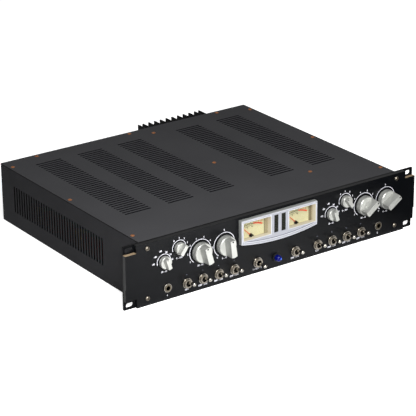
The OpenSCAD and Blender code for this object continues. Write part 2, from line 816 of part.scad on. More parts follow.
// Nuts on the front: round ones on the toggles and jacks, hexagons under the knobs
module panel_nuts() color(silver) from_rack() {
    for (x = toggle_xs())
        tube_y(x, toggle_z, toggle_nut_d, toggle_bush_d + 2 * thread_gap, low_front_y - toggle_nut_t,
            low_front_y);
    for (side = [-1, 1])
        tube_y(side * jack_x, jack_z, jack_nut_d, bushing_d + 2 * thread_gap, low_front_y - jack_nut_t,
            low_front_y);
    for (c = channels) for (i = controls) {
        p = control_at(c, i);
        hex_nut(p[0], p[1], -panel_t - nut_t, -panel_t);
    }
}

function is_big(i) = i == GAIN || i == TRIM;

// A pointer knob along +Z: a round skirt, and a bar across it that narrows to its tip
// (bar holds the bar's widths at its foot, tail and tip); the shaft's hole is as deep as the skirt
module pointer_shape(d, skirt_h, h, bar) {
    r = d / 2;
    edge = d * 0.03;
    difference() {
        union() {
            rotate_extrude() polygon([[0, 0], [r - edge / 2, 0], [r, edge / 2], [r, skirt_h - edge],
                [r - edge, skirt_h], [0, skirt_h]]);
            intersection() {
                translate([0, 0, skirt_h - join])
                    cylinder(r1 = r - edge, r2 = r * bar_end, h = h - skirt_h + join);
                hull() {
                    translate([-bar[0] / 2, -r - 1, skirt_h - join]) cube([bar[0], d + 2, eps]);
                    translate([0, 0, h - eps]) linear_extrude(eps) polygon([[-bar[1] / 2, -r - 1],
                        [bar[1] / 2, -r - 1], [bar[2] / 2, r + 1], [-bar[2] / 2, r + 1]]);
                }
            }
        }
        translate([0, 0, -1]) cylinder(d = shaft_d + 2 * shaft_fit, h = 1 + skirt_h);
        translate([0, 0, -1]) cylinder(d = nut_recess_d, h = 1 + nut_recess_h);
        translate([0, r * dot_place, h - dot_depth]) cylinder(d = d * dot_size, h = 1);
    }
}

module knob(channel, i) color(knob_grey) from_rack() {
    p = control_at(channel, i);
    translate([p[0], -panel_t - knob_gap, p[1]]) rotate([90, 0, 0]) rotate([0, 0, -pointer_deg[channel][i]])
        if (is_big(i)) pointer_shape(big_knob_d, big_skirt_h, big_knob_h, big_bar);
        else pointer_shape(small_knob_d, small_skirt_h, small_knob_h, small_bar);
}

// A control shaft, from inside its switch or trim control to inside its knob
module shaft(channel, i) color(steel) from_rack() {
    p = control_at(channel, i);
    rod_y(p[0], p[1], shaft_d, edge_gap - panel_t - knob_gap - (is_big(i) ? big_skirt_h : small_skirt_h),
        plate_t + shaft_inner - edge_gap);
}

// A threaded bushing and a round body behind the plate, bored for the shaft
module control_body(p, d, depth) {
    difference() {
        union() {
            rod_y(p[0], p[1], bushing_d, -panel_t - bush_stand, plate_t + join);
            rod_y(p[0], p[1], d, plate_t, plate_t + depth);
        }
        rod_y(p[0], p[1], shaft_d + 2 * shaft_fit, -panel_t - bush_stand - 1, plate_t + shaft_inner);
    }
}

module selector_switches() color([0.2, 0.2, 0.22]) from_rack() {
    for (c = channels) {
        control_body(control_at(c, INPUT), small_switch_d(), switch_depth);
        control_body(control_at(c, FILTER), small_switch_d(), switch_depth);
        control_body(control_at(c, GAIN), switch_d, switch_depth);
    }
}

// The input and filter switches stand close together, so their bodies are slimmer
function small_switch_d() = min(switch_d,
    norm(control_at(0, FILTER) - control_at(0, INPUT)) - switch_gap);

module trim_controls() color([0.3, 0.42, 0.62]) from_rack() {
    for (c = channels) control_body(control_at(c, TRIM), pot_d, pot_depth);
}

module toggle_bodies() color([0.5, 0.12, 0.1]) from_rack() {
    for (x = toggle_xs()) difference() {
        union() {
            rod_y(x, toggle_z, toggle_bush_d, low_front_y - toggle_bush_l, plate_t + join);
            block_y(x, toggle_z, toggle_body[0], toggle_body[2], plate_t, plate_t + toggle_body[1]);
        }
        rod_y(x, toggle_z, toggle_bore_d, low_front_y - toggle_bush_l - 1, plate_t + toggle_bore_l);
    }
}

// A bat lever on its ball, numbered from the left, tilted by angle above straight out
module toggle_lever(number, angle) color(silver) from_rack() {
    tip_r = lever_tip_d / 2;
    translate([toggle_xs()[number], toggle_pivot_y, toggle_z]) rotate([90 - angle, 0, 0]) {
        sphere(d = toggle_ball_d);
        translate([0, 0, -lever_tail_l - toggle_ball_d / 2])
            cylinder(d = lever_tail_d, h = lever_tail_l + toggle_ball_d / 2);
        cylinder(d = lever_neck_d, h = toggle_ball_d);
        translate([0, 0, toggle_ball_d * 0.8])
            cylinder(d1 = lever_neck_d, d2 = lever_tip_d, h = lever_l - tip_r - toggle_ball_d * 0.8);
        translate([0, 0, lever_l - tip_r]) sphere(d = lever_tip_d);
    }
}

// Three holes or pins of a round connector, at 90 degrees apart
module three_contacts(x, d, y0, y1) {
    for (a = [0, 90, 180])
        rod_y(x + contact_circle_r * cos(a), rear_z + contact_circle_r * sin(a), d, y0, y1);
}

// The flange and barrel that both kinds of round connector share
module round_connector(x) {
    block_y(x, rear_z, flange_x, flange_z, back_y, mouth_y);
    rod_y(x, rear_z, barrel_d, back_y - connector_depth, mouth_y);
}

module mic_inputs() color([0.3, 0.3, 0.31]) from_rack() {
    for (c = channels) {
        x = mic_x + c * rear_channel_step;
        difference() {
            round_connector(x);
            difference() {
                rod_y(x, rear_z, shell_bore_d - 2 * edge_gap + 2 * groove_w, mouth_y - socket_depth,
                    mouth_y + 1);
                rod_y(x, rear_z, shell_bore_d - 2 * edge_gap, mouth_y - socket_depth - 1,
                    mouth_y - insert_recess);
            }
            three_contacts(x, contact_hole_d, mouth_y - socket_depth, mouth_y + 1);
        }
    }
}

module line_outputs() color([0.3, 0.3, 0.31]) from_rack() {
    for (c = channels) {
        x = mic_x + rear_step + c * rear_channel_step;
        difference() {
            round_connector(x);
            rod_y(x, rear_z, shell_bore_d, mouth_y - socket_depth, mouth_y + 1);
        }
        three_contacts(x, contact_pin_d, mouth_y - socket_depth - join, mouth_y - contact_recess);
    }
}

// An appliance inlet: a flange, a body through the panel, and three blades in its cavity
module mains_inlet() color([0.1, 0.1, 0.1]) from_rack() {
    difference() {
        union() {
            block_y(inlet_x, rear_z, inlet_size[0], inlet_size[1], back_y, mouth_y);
            block_y(inlet_x, rear_z, inlet_body[0], inlet_body[1], back_y - inlet_depth, mouth_y);
        }
        block_y(inlet_x, rear_z, inlet_mouth[0], inlet_mouth[1], mouth_y - inlet_cavity, mouth_y + 1);
    }
    for (p = blade_places)
        block_y(inlet_x + p[0], rear_z + p[1], blade_size[0], blade_size[1],
            mouth_y - inlet_cavity - join, mouth_y - contact_recess);
}

// Boards on standoffs: the amplifier's at the left and the mains supply's at the right
module circuit_boards() color([0.05, 0.25, 0.14]) from_rack() difference() {
    union() {
        span([-inner_side_x + board_edge, divider_left - board_edge], audio_board_y,
            [board_z, board_top_z]);
        span(supply_board_x, supply_board_y, [board_z, board_top_z]);
    }
    for (p = standoff_places())
        rod_z(p[0], p[1], board_screw_d + 2 * thread_gap, board_z - 1, board_top_z + 1);
}

function standoff_places() = let (inset = board_edge + standoff_inset) concat(
    [for (x = [-inner_side_x + inset, standoff_middle_x, divider_left - inset])
        for (y = [audio_board_y[0] + standoff_inset, audio_board_y[1] - standoff_inset]) [x, y]],
    [for (x = [divider_right + inset, inner_side_x - inset])
        for (y = [supply_board_y[0] + standoff_inset, supply_board_y[1] - standoff_inset]) [x, y]]);

// Standoffs with their screws, the cover's post, the transformer's bolt and the sink's screws
module inner_fasteners() color(steel) from_rack() {
    for (p = standoff_places()) {
        rod_z(p[0], p[1], standoff_d, floor_top_z, board_z);
        rod_z(p[0], p[1], board_screw_d, board_z - join, board_top_z + join);
        rod_z(p[0], p[1], board_head_d, board_top_z, board_top_z + board_head_h);
    }
    difference() {
        rod_z(post_pos[0], post_pos[1], post_d, floor_top_z, deck_z);
        rod_z(post_pos[0], post_pos[1], cover_screw_d + 2 * thread_gap, deck_z - post_bore_l, deck_z + 1);
    }
    rod_z(toroid_pos[0], toroid_pos[1], toroid_bolt_d, floor_top_z, toroid_clamp_z + toroid_bolt_rise);
    rod_z(toroid_pos[0], toroid_pos[1], toroid_hole_d + 2 * toroid_clamp_rim,
        toroid_clamp_z, toroid_clamp_z + toroid_clamp_t);
    sink_screws(panel_screw_d, inner_back_y - join, back_y + sink_base_t - 2 * edge_gap);
    sink_screws(sink_head_d, inner_back_y - sink_head_h, inner_back_y);
}

// A folded wall between the two bays, with flanges on the floor and under the cover
module inner_divider() color(steel) from_rack() difference() {
    union() {
        span([divider_left, divider_left + sheet_t], divider_y, [floor_top_z, deck_z]);
        span([divider_left, divider_right], divider_y, [floor_top_z, floor_top_z + sheet_t]);
        span([divider_left, divider_right], divider_y, [deck_z - sheet_t, deck_z]);
    }
    cover_screw_holes();
}

// A wound ring with rounded edges, and its two pads
module mains_transformer() color([0.75, 0.6, 0.15]) from_rack()
    translate([toroid_pos[0], toroid_pos[1], floor_top_z]) {
        rotate_extrude($fn = 96) translate([toroid_hole_d / 2, toroid_pad_t]) {
            w = (toroid_d - toroid_hole_d) / 2;
            f = toroid_fillet;
            translate([f, 0]) square([w - 2 * f, toroid_h]);
            translate([0, f]) square([w, toroid_h - 2 * f]);
            for (x = [f, w - f]) for (y = [f, toroid_h - f]) translate([x, y]) circle(r = f);
        }
        for (z = [0, toroid_pad_t + toroid_h]) translate([0, 0, z]) difference() {
            cylinder(d = toroid_d - 2 * toroid_pad_rim, h = toroid_pad_t);
            translate([0, 0, -1]) cylinder(d = toroid_bolt_d + 2 * cut_gap, h = toroid_pad_t + 2);
        }
    }

// Two round input transformers in front and two square output transformers behind
module audio_transformers() color([0.5, 0.5, 0.52]) from_rack() {
    w = output_transformer_size[0] / 2;
    l = output_transformer_size[1] / 2;
    for (x = audio_transformer_x) {
        rod_z(x, input_transformer_y, input_transformer_d, board_top_z, board_top_z + input_transformer_h);
        span([x - w, x + w], [output_transformer_y - l, output_transformer_y + l],
            [board_top_z, board_top_z + output_transformer_size[2]]);
    }
}

module smoothing_capacitors() color([0.1, 0.12, 0.3]) from_rack() {
    r = smoothing_d / 2;
    b = smoothing_bevel;
    for (i = [-1.5:1.5]) translate([smoothing_pos[0] + i * smoothing_pitch, smoothing_pos[1], board_top_z])
        rotate_extrude() polygon([[0, 0], [r, 0], [r, smoothing_h - b], [r - b, smoothing_h], [0,
            smoothing_h]]);
}

// Film capacitors in a row beside the left wall
module film_capacitors() color([0.7, 0.15, 0.08]) from_rack() {
    for (i = [0:film_count - 1]) {
        y = audio_board_y[0] + film_margin[0] + i * film_pitch;
        span([film_x - film_size[0] / 2, film_x + film_size[0] / 2],
            [y - film_size[1] / 2, y + film_size[1] / 2], [board_top_z, board_top_z + film_size[2]]);
    }
}

rack_plate();
front_panel();
panel_screws();
chassis_tray();
rear_panel();
top_cover();
cover_screws();
meter_bezel();
meter_cases();
meter_dials();
meter_windows();
needle(-1);  // left_needle
needle(1);  // right_needle
light_columns();
status_lights();
pilot_lamp();
pilot_ring();
instrument_jacks();
panel_nuts();
knob(0, INPUT);  // ch1_input_knob
knob(0, FILTER);  // ch1_filter_knob
knob(0, GAIN);  // ch1_gain_knob
knob(0, TRIM);  // ch1_trim_knob
knob(1, INPUT);  // ch2_input_knob
knob(1, FILTER);  // ch2_filter_knob
knob(1, GAIN);  // ch2_gain_knob
knob(1, TRIM);  // ch2_trim_knob
shaft(0, INPUT);  // ch1_input_shaft
shaft(0, FILTER);  // ch1_filter_shaft
shaft(0, GAIN);  // ch1_gain_shaft
shaft(0, TRIM);  // ch1_trim_shaft
shaft(1, INPUT);  // ch2_input_shaft
shaft(1, FILTER);  // ch2_filter_shaft
shaft(1, GAIN);  // ch2_gain_shaft
shaft(1, TRIM);  // ch2_trim_shaft
selector_switches();
trim_controls();
toggle_bodies();
toggle_lever(0, lever_deg);  // ch1_toggle_1
toggle_lever(1, lever_deg);  // ch1_toggle_2
toggle_lever(2, lever_deg);  // ch1_toggle_3
toggle_lever(3, lever_deg);  // ch1_toggle_4
toggle_lever(4, 0);  // meter_toggle
toggle_lever(5, lever_deg);  // power_toggle
toggle_lever(6, lever_deg);  // ch2_toggle_1
toggle_lever(7, lever_deg);  // ch2_toggle_2
toggle_lever(8, lever_deg);  // ch2_toggle_3
toggle_lever(9, lever_deg);  // ch2_toggle_4
heat_sink();
power_transistors();
mains_inlet();
mic_inputs();
line_outputs();
circuit_boards();
inner_fasteners();
inner_divider();
mains_transformer();
audio_transformers();
smoothing_capacitors();
film_capacitors();
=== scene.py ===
"""Looks of a two-channel microphone preamplifier: finishes, printed marks and fine detail over its CAD frame.

Sizes are in metres through MM, in the part's own frame: X to the right, Y to the back, Z up.
"""

import math

import bmesh
import bpy
from mathutils import Matrix, Vector
from mathutils.geometry import tessellate_polygon


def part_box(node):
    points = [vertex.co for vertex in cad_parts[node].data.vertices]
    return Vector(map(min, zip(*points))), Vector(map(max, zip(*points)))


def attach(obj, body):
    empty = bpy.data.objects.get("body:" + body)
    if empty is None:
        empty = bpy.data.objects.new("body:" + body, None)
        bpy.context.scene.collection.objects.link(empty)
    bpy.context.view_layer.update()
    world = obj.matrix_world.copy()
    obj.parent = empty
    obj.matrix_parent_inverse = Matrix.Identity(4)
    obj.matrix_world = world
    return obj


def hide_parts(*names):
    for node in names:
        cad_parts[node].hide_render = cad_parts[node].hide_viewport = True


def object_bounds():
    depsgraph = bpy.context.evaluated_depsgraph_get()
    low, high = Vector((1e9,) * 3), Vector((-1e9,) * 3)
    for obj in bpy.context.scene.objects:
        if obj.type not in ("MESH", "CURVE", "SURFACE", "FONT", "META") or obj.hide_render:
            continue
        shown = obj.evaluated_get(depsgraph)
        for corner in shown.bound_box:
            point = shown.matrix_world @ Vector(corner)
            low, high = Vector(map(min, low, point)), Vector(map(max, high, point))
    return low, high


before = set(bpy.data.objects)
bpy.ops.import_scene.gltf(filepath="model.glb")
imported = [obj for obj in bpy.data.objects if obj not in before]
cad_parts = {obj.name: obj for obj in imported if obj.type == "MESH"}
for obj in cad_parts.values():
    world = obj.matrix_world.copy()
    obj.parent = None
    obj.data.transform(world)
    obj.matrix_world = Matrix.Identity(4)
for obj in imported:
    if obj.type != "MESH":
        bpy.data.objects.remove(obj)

MM = 0.001
cad_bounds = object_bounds()
PLATE_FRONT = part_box("rack_plate")[0].y


def depth(y):
    """A place behind the rack plate's front face, from millimetres to the part's Y."""
    return PLATE_FRONT + y * MM


# Places on the front

CHANNELS = ("ch1", "ch2")
CONTROLS = ("input", "filter", "gain", "trim")
CHANNEL_TOGGLES = [f"{channel}_toggle_{number}" for channel in CHANNELS for number in range(1, 5)]
TOGGLES = CHANNEL_TOGGLES + ["meter_toggle", "power_toggle"]
TOGGLE_Z = 15.7 * MM
METER_X = 37.7 * MM
PIVOT_Z = 54.2 * MM

# Where each knob points at rest, in degrees clockwise from straight up
POINTERS = {
    "ch1": {"input": -18, "filter": 36, "gain": -15, "trim": -7},
    "ch2": {"input": -18, "filter": -36, "gain": 54, "trim": 57},
}
KNOB_RADIUS = {"input": 8.3 * MM, "filter": 8.3 * MM, "gain": 13.5 * MM, "trim": 13.5 * MM}
# The dot in a knob's pointer: its distance from the middle, its radius and its dark surround's radius as
# shares of the knob's radius, then its depth in the metal and its thickness as a share of its width
DOT_PLACE = 0.78
DOT_SHARE = 0.053
DOT_SPOT = 0.085
DOT_DEPTH = 0.5 * MM
DOT_FLATNESS = 0.4


def centre_of(node):
    low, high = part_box(node)
    return (low.x + high.x) / 2, (low.z + high.z) / 2


def dial_point(x, z, radius, degrees):
    """A point of a dial, with the angle clockwise from straight up."""
    angle = math.radians(degrees)
    return (x + radius * math.sin(angle), z + radius * math.cos(angle))


def dot_centre(channel, control):
    """The middle of a knob's dot, on its front."""
    x, z = centre_of(f"{channel}_{control}_shaft")
    dot_x, dot_z = dial_point(x, z, KNOB_RADIUS[control] * DOT_PLACE, POINTERS[channel][control])
    return Vector((dot_x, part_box(f"{channel}_{control}_knob")[0].y, dot_z))


# The photograph's camera

PHOTO_PIXELS = 416
FOCAL_PIXELS = 1927.28
SENSOR_WIDTH = 36.0
VIEW_REACH = 30.0
CAMERA_TARGET = Vector((-3.468 * MM, depth(150.0), 36.668 * MM))
CAMERA_DISTANCE = 2702.574 * MM
CAMERA_AZIMUTH = math.radians(-34.948)
CAMERA_ELEVATION = math.radians(22.04)
CAMERA_ROLL = math.radians(-0.594)


def link(obj):
    bpy.context.scene.collection.objects.link(obj)
    return obj


def add_camera():
    data = bpy.data.cameras.new("camera")
    data.sensor_fit = "HORIZONTAL"
    data.sensor_width = SENSOR_WIDTH
    data.lens = FOCAL_PIXELS / PHOTO_PIXELS * SENSOR_WIDTH
    data.clip_end = VIEW_REACH
    level_right = Vector((math.cos(CAMERA_AZIMUTH), math.sin(CAMERA_AZIMUTH), 0))
    back = Vector((
        math.sin(CAMERA_AZIMUTH) * math.cos(CAMERA_ELEVATION),
        -math.cos(CAMERA_AZIMUTH) * math.cos(CAMERA_ELEVATION),
        math.sin(CAMERA_ELEVATION),
    ))
    level_up = back.cross(level_right)
    right = level_right * math.cos(CAMERA_ROLL) + level_up * math.sin(CAMERA_ROLL)
    up = level_up * math.cos(CAMERA_ROLL) - level_right * math.sin(CAMERA_ROLL)
    camera = link(bpy.data.objects.new("camera", data))
    axes = Matrix((right, up, back)).transposed().to_4x4()
    camera.matrix_world = Matrix.Translation(CAMERA_TARGET + back * CAMERA_DISTANCE) @ axes
    bpy.context.scene.camera = camera


# Shader nodes

def combine(tree, operation, *values):
    """The result of a Math node, from sockets or plain numbers."""
    node = tree.nodes.new("ShaderNodeMath")
    node.operation = operation
    for socket, value in zip(node.inputs, values):
        if isinstance(value, bpy.types.NodeSocket):
            tree.links.new(value, socket)
        else:
            socket.default_value = value
    return node.outputs[0]


def remap(tree, value, low, high, low_result=0.0, high_result=1.0):
    """Goes from one result to the other as the value goes from low to high, which may lie below low."""
    node = tree.nodes.new("ShaderNodeMapRange")
    node.inputs["From Min"].default_value = low
    node.inputs["From Max"].default_value = high
    node.inputs["To Min"].default_value = low_result
    node.inputs["To Max"].default_value = high_result
    tree.links.new(value, node.inputs["Value"])
    return node.outputs["Result"]


def component(tree, vector, axis):
    """A vector's X, Y or Z."""
    parts = tree.nodes.new("ShaderNodeSeparateXYZ")
    tree.links.new(vector, parts.inputs[0])
    return parts.outputs[axis]


def coordinate(tree, axis):
    """The place along one of the part's own axes, in metres."""
    place = tree.nodes.new("ShaderNodeTexCoord").outputs["Object"]
    return component(tree, place, axis)


# Studio: soft boxes, a pale floor, a white surround and two dark flags

WORLD_LIGHT = 0.1
REFLECTED_WHITE = 0.35
FLOOR_HALF = 6.0
FLOOR_GREY = 0.86
FLOOR_GLOW = 0.8
# The flags lie just above the floor in front of the part, between these places along Y
FLAG_LIFT = 1 * MM
FLAG_FRONT = -2.5
FLAG_BACK = -0.187
FLAG_GREY = 0.005
# Each flag's two ends along X, the stretch over which it fades in, and how dark it gets
FLAGS = {
    "flag_right": {"ends": (0.05, 3.0), "fade": (0.11, 0.27), "share": 1.0},
    "flag_left": {"ends": (-3.0, -0.05), "fade": (-0.03, -0.25), "share": 0.5},
}


def soft_box(name, place, aim, side, power):
    data = bpy.data.lights.new(name, "AREA")
    data.shape = "SQUARE"
    data.size = side
    data.energy = power
    lamp = link(bpy.data.objects.new(name, data))
    lamp.location = place
    lamp.rotation_euler = (Vector(aim) - Vector(place)).to_track_quat("-Z", "Y").to_euler()


def seen_share(tree):
    """1 where the camera sees it, also through glass, less in a reflection, and 0 for the light it gives."""
    path = tree.nodes.new("ShaderNodeLightPath")
    direct = combine(tree, "MAXIMUM", path.outputs["Is Camera Ray"], path.outputs["Is Transmission Ray"])
    mirrored = combine(tree, "MULTIPLY", path.outputs["Is Glossy Ray"], REFLECTED_WHITE)
    return combine(tree, "MAXIMUM", direct, mirrored)


def add_world():
    world = bpy.data.worlds.new("studio")
    world.use_nodes = True
    bpy.context.scene.world = world
    tree = world.node_tree
    background = tree.nodes["Background"]
    background.inputs["Color"].default_value = (1, 1, 1, 1)
    strength = remap(tree, seen_share(tree), 0, 1, WORLD_LIGHT, 1)
    tree.links.new(strength, background.inputs["Strength"])


def matt_material(name, grey, roughness):
    """A grey without gloss, for the studio's sheets."""
    material = bpy.data.materials.new(name)
    material.use_nodes = True
    shader = material.node_tree.nodes["Principled BSDF"]
    shader.inputs["Base Color"].default_value = (grey, grey, grey, 1)
    shader.inputs["Roughness"].default_value = roughness
    shader.inputs["Specular IOR Level"].default_value = 0.0
    return material


def floor_material():
    """A pale floor that looks white and still takes the part's shadow."""
    material = matt_material("floor_pale", FLOOR_GREY, 0.9)
    tree = material.node_tree
    glow = tree.nodes.new("ShaderNodeEmission")
    tree.links.new(combine(tree, "MULTIPLY", seen_share(tree), FLOOR_GLOW), glow.inputs["Strength"])
    together = tree.nodes.new("ShaderNodeAddShader")
    tree.links.new(tree.nodes["Principled BSDF"].outputs[0], together.inputs[0])
    tree.links.new(glow.outputs[0], together.inputs[1])
    tree.links.new(together.outputs[0], tree.nodes["Material Output"].inputs["Surface"])
    return material


def flag_material(fade, share):
    """A studio flag: it darkens reflections, more and more along its fade, and is unseen otherwise."""
    material = matt_material("flag_black", FLAG_GREY, 1.0)
    tree = material.node_tree
    darkness = remap(tree, coordinate(tree, "X"), *fade, 0, share)
    path = tree.nodes.new("ShaderNodeLightPath")
    mix = tree.nodes.new("ShaderNodeMixShader")
    tree.links.new(combine(tree, "MULTIPLY", path.outputs["Is Glossy Ray"], darkness), mix.inputs["Fac"])
    tree.links.new(tree.nodes.new("ShaderNodeBsdfTransparent").outputs[0], mix.inputs[1])
    tree.links.new(tree.nodes["Principled BSDF"].outputs[0], mix.inputs[2])
    tree.links.new(mix.outputs[0], tree.nodes["Material Output"].inputs["Surface"])
    return material


def add_sheet(name, ends_x, ends_y, level, material):
    """A level sheet of the studio."""
    left, right = ends_x
    near, far = ends_y
    corners = [(left, near, level), (right, near, level), (right, far, level), (left, far, level)]
    mesh = bpy.data.meshes.new(name)
    mesh.from_pydata(corners, [], [(0, 1, 2, 3)])
    mesh.materials.append(material)
    link(bpy.data.objects.new(name, mesh))


def add_studio():
    bpy.context.scene.view_settings.view_transform = "Standard"
    add_world()
    soft_box("key", place=(-0.42, -1.0, 0.75), aim=(-0.05, -0.2, 0.03), side=0.55, power=24)
    soft_box("top", place=(-0.1, 0.3, 2.2), aim=(0, 0, 0), side=1.8, power=5)
    soft_box("fill", place=(-0.5, -0.45, 0.15), aim=(-0.2, -0.15, 0.04), side=0.25, power=0.5)
    floor_ends = (-FLOOR_HALF, FLOOR_HALF)
    floor_z = cad_bounds[0].z
    add_sheet("floor", floor_ends, floor_ends, floor_z, floor_material())
    for name, flag in FLAGS.items():
        material = flag_material(flag["fade"], flag["share"])
        add_sheet(name, flag["ends"], (FLAG_FRONT, FLAG_BACK), floor_z + FLAG_LIFT, material)


# Materials

# Nearly all of a noise texture's values lie between these
NOISE_LOW = 0.3
NOISE_HIGH = 0.7
PATCH_DETAIL = 4
GRAIN_DETAIL = 2
EDGE_BLUR = 0.1 * MM
SPOT_BLUR = 0.05
STRIPE_BLUR = 0.04


def paint(code):
    """The linear colour of an sRGB code such as "4a4b50"."""
    channels = [int(code[i:i + 2], 16) / 255 for i in (0, 2, 4)]
    return tuple(c / 12.92 if c <= 0.04045 else ((c + 0.055) / 1.055) ** 2.4 for c in channels)


class Finish:
    """A procedural material that is built up in layers over one Principled shader."""

    def __init__(self, name, code, roughness, metallic=0.0, specular=0.5):
        self.material = bpy.data.materials.new(name)
        self.material.use_nodes = True
        self.tree = self.material.node_tree
        self.shader = self.tree.nodes["Principled BSDF"]
        self.roughness = roughness
        self.set("Base Color", (*paint(code), 1))
        self.set("Roughness", roughness)
        self.set("Metallic", metallic)
        self.set("Specular IOR Level", specular)

    def set(self, socket, value):
        """Gives the shader one value all over the surface."""
        self.shader.inputs[socket].default_value = value

    def feed(self, socket, value):
        """Gives the shader a value that varies over the surface."""
        self.tree.links.new(value, self.shader.inputs[socket])

    def glow(self, code, strength):
        """A faint light given off by the surface: a backlit dial's own, or painted light on the walls beside
        it.
        """
        self.set("Emission Color", (*paint(code), 1))
        self.set("Emission Strength", strength)

    def noise(self, size, detail, stretch=(1, 1, 1)):
        """Noise whose grains are about size millimetres across, before the stretch along each axis."""
        coordinates = self.tree.nodes.new("ShaderNodeTexCoord")
        mapping = self.tree.nodes.new("ShaderNodeMapping")
        mapping.inputs["Scale"].default_value = [share / MM for share in stretch]
        self.tree.links.new(coordinates.outputs["Object"], mapping.inputs["Vector"])
        texture = self.tree.nodes.new("ShaderNodeTexNoise")
        texture.inputs["Scale"].default_value = 1 / size
        texture.inputs["Detail"].default_value = detail
        self.tree.links.new(mapping.outputs["Vector"], texture.inputs["Vector"])
        return texture.outputs["Fac"]

    def patches(self, size, low, high):
        """Soft patches between two values, size millimetres across."""
        return remap(self.tree, self.noise(size, PATCH_DETAIL), NOISE_LOW, NOISE_HIGH, low, high)

    def recolour(self, mask, code):
        """Paints another colour where the mask is 1."""
        mix = self.tree.nodes.new("ShaderNodeMix")
        mix.data_type = "RGBA"
        self.tree.links.new(mask, mix.inputs["Factor"])
        base = self.shader.inputs["Base Color"]
        if base.is_linked:
            self.tree.links.new(base.links[0].from_socket, mix.inputs["A"])
        else:
            mix.inputs["A"].default_value = base.default_value
        mix.inputs["B"].default_value = (*paint(code), 1)
        self.tree.links.new(mix.outputs["Result"], base)
        return self

    def mottle(self, size, code):
        """Drifts the base colour towards another one in soft patches."""
        return self.recolour(self.patches(size, 0, 1), code)

    def smudge(self, size, spread=0.08):
        """Varies the roughness in patches."""
        self.feed("Roughness", self.patches(size, self.roughness - spread, self.roughness + spread))
        return self

    def grain(self, size, height, stretch=(1, 1, 1)):
        """A bump of grains size millimetres across and height millimetres high."""
        bump = self.tree.nodes.new("ShaderNodeBump")
        bump.inputs["Distance"].default_value = height * MM
        bump.inputs["Strength"].default_value = 1.0
        self.tree.links.new(self.noise(size, GRAIN_DETAIL, stretch), bump.inputs["Height"])
        self.feed("Normal", bump.outputs["Normal"])
        return self

    def lean(self, axis):
        """How squarely the surface faces along an axis, either way."""
        geometry = self.tree.nodes.new("ShaderNodeNewGeometry")
        return combine(self.tree, "ABSOLUTE", component(self.tree, geometry.outputs["True Normal"], axis))

    def facing(self, axis, low=0.7, high=0.8):
        """1 where the surface faces along an axis, either way."""
        return remap(self.tree, self.lean(axis), low, high)

    def turned_from(self, axis):
        """1 where the surface faces away from an axis."""
        return remap(self.tree, self.lean(axis), 0.5, 0.4)

    def beyond(self, axis, low, high):
        """0 to 1 as the part's coordinate along an axis goes from low to high, which may lie below low."""
        return remap(self.tree, coordinate(self.tree, axis), low, high)

    def between(self, axis, low, high, blur=EDGE_BLUR):
        """1 from low to high along an axis, with both edges blurred inwards."""
        return self.both(self.beyond(axis, low, low + blur), self.beyond(axis, high, high - blur))

    def around(self, centre, radius):
        """1 within a radius of a point of the part."""
        coordinates = self.tree.nodes.new("ShaderNodeTexCoord")
        distance = self.tree.nodes.new("ShaderNodeVectorMath")
        distance.operation = "DISTANCE"
        distance.inputs[1].default_value = centre
        self.tree.links.new(coordinates.outputs["Object"], distance.inputs[0])
        edge = radius * SPOT_BLUR
        return remap(self.tree, distance.outputs["Value"], radius + edge, radius - edge)

    def stripes(self, axis, pitch, share):
        """1 on stripes across an axis, which take up a share of their pitch."""
        half = pitch / 2
        from_middle = combine(self.tree, "PINGPONG", coordinate(self.tree, axis), half)
        edge = half * share
        blur = pitch * STRIPE_BLUR
        return remap(self.tree, from_middle, edge + blur, edge - blur)

    def both(self, first, second):
        """1 where two masks both are."""
        return combine(self.tree, "MULTIPLY", first, second)


# The ears' notches in the front panel, and the top edge of both plates, where painted shade darkens it
NOTCH_START = 223.7 * MM
NOTCH_FULL = 223.9 * MM
NOTCH_TOP = 80 * MM
TOP_EDGE_START = 87.6 * MM
TOP_EDGE_FULL = 87.9 * MM
# The vents of the cover and of the tray's side walls lie between these places
COVER_VENT_X = 208 * MM
COVER_VENT_ENDS = (depth(20), depth(350))
TRAY_VENT_ENDS = (depth(12), depth(355))
# The tray's inner walls lie within this distance of the middle
TRAY_INSIDE_X = 212.6 * MM
# Along Y, where the jacks turn black inside, where the bushings' metal starts and where the levers turn black
# with painted shade
JACK_MOUTH = (depth(-6.5), depth(-6.3))
BUSHING_START = (depth(0.4), depth(0.1))
LEVER_ROOT = (depth(-6.8), depth(-6.4))


def panel_black():
    """Black anodised panel, with bare metal on the level edges of the ears' notches and painted shade on its
    top edge.
    """
    finish = Finish("panel_black", "060709", 0.36, specular=0.16)
    finish.mottle(38, "08090c").smudge(25, 0.05).grain(0.35, 0.008)
    for side in (-1, 1):
        outside = finish.beyond("X", side * NOTCH_START, side * NOTCH_FULL)
        in_notch = finish.both(outside, finish.beyond("Z", NOTCH_TOP, NOTCH_TOP - EDGE_BLUR))
        finish.recolour(finish.both(in_notch, finish.facing("Z")), "8d7b63")
    # Painted shade: the top edge is coloured darker
    finish.recolour(finish.beyond("Z", TOP_EDGE_START, TOP_EDGE_FULL), "030304")
    return finish.material


def plate_black():
    finish = Finish("plate_black", "060709", 0.4, specular=0.05)
    finish.mottle(30, "090a0c").smudge(25, 0.05).grain(0.35, 0.012)
    # Painted shade: the top edge is coloured darker
    finish.recolour(finish.beyond("Z", TOP_EDGE_START, TOP_EDGE_FULL), "030304")
    return finish.material


def cover_grey():
    """Powder coat, with painted shade on the slots' cut walls and on all that faces sideways."""
    finish = Finish("cover_grey", "3a3a3c", 0.6, specular=0.04)
    finish.mottle(60, "3e3e40").smudge(30, 0.05).grain(0.45, 0.03)
    across = finish.between("X", -COVER_VENT_X, COVER_VENT_X)
    in_vents = finish.both(across, finish.between("Y", *COVER_VENT_ENDS))
    # Painted shade: the vents' cut walls are coloured dark
    finish.recolour(finish.both(in_vents, finish.turned_from("Z")), "0b0c10")
    # Painted shade: the sideways faces are coloured dark
    finish.recolour(finish.facing("X"), "0c0c0e")
    return finish.material


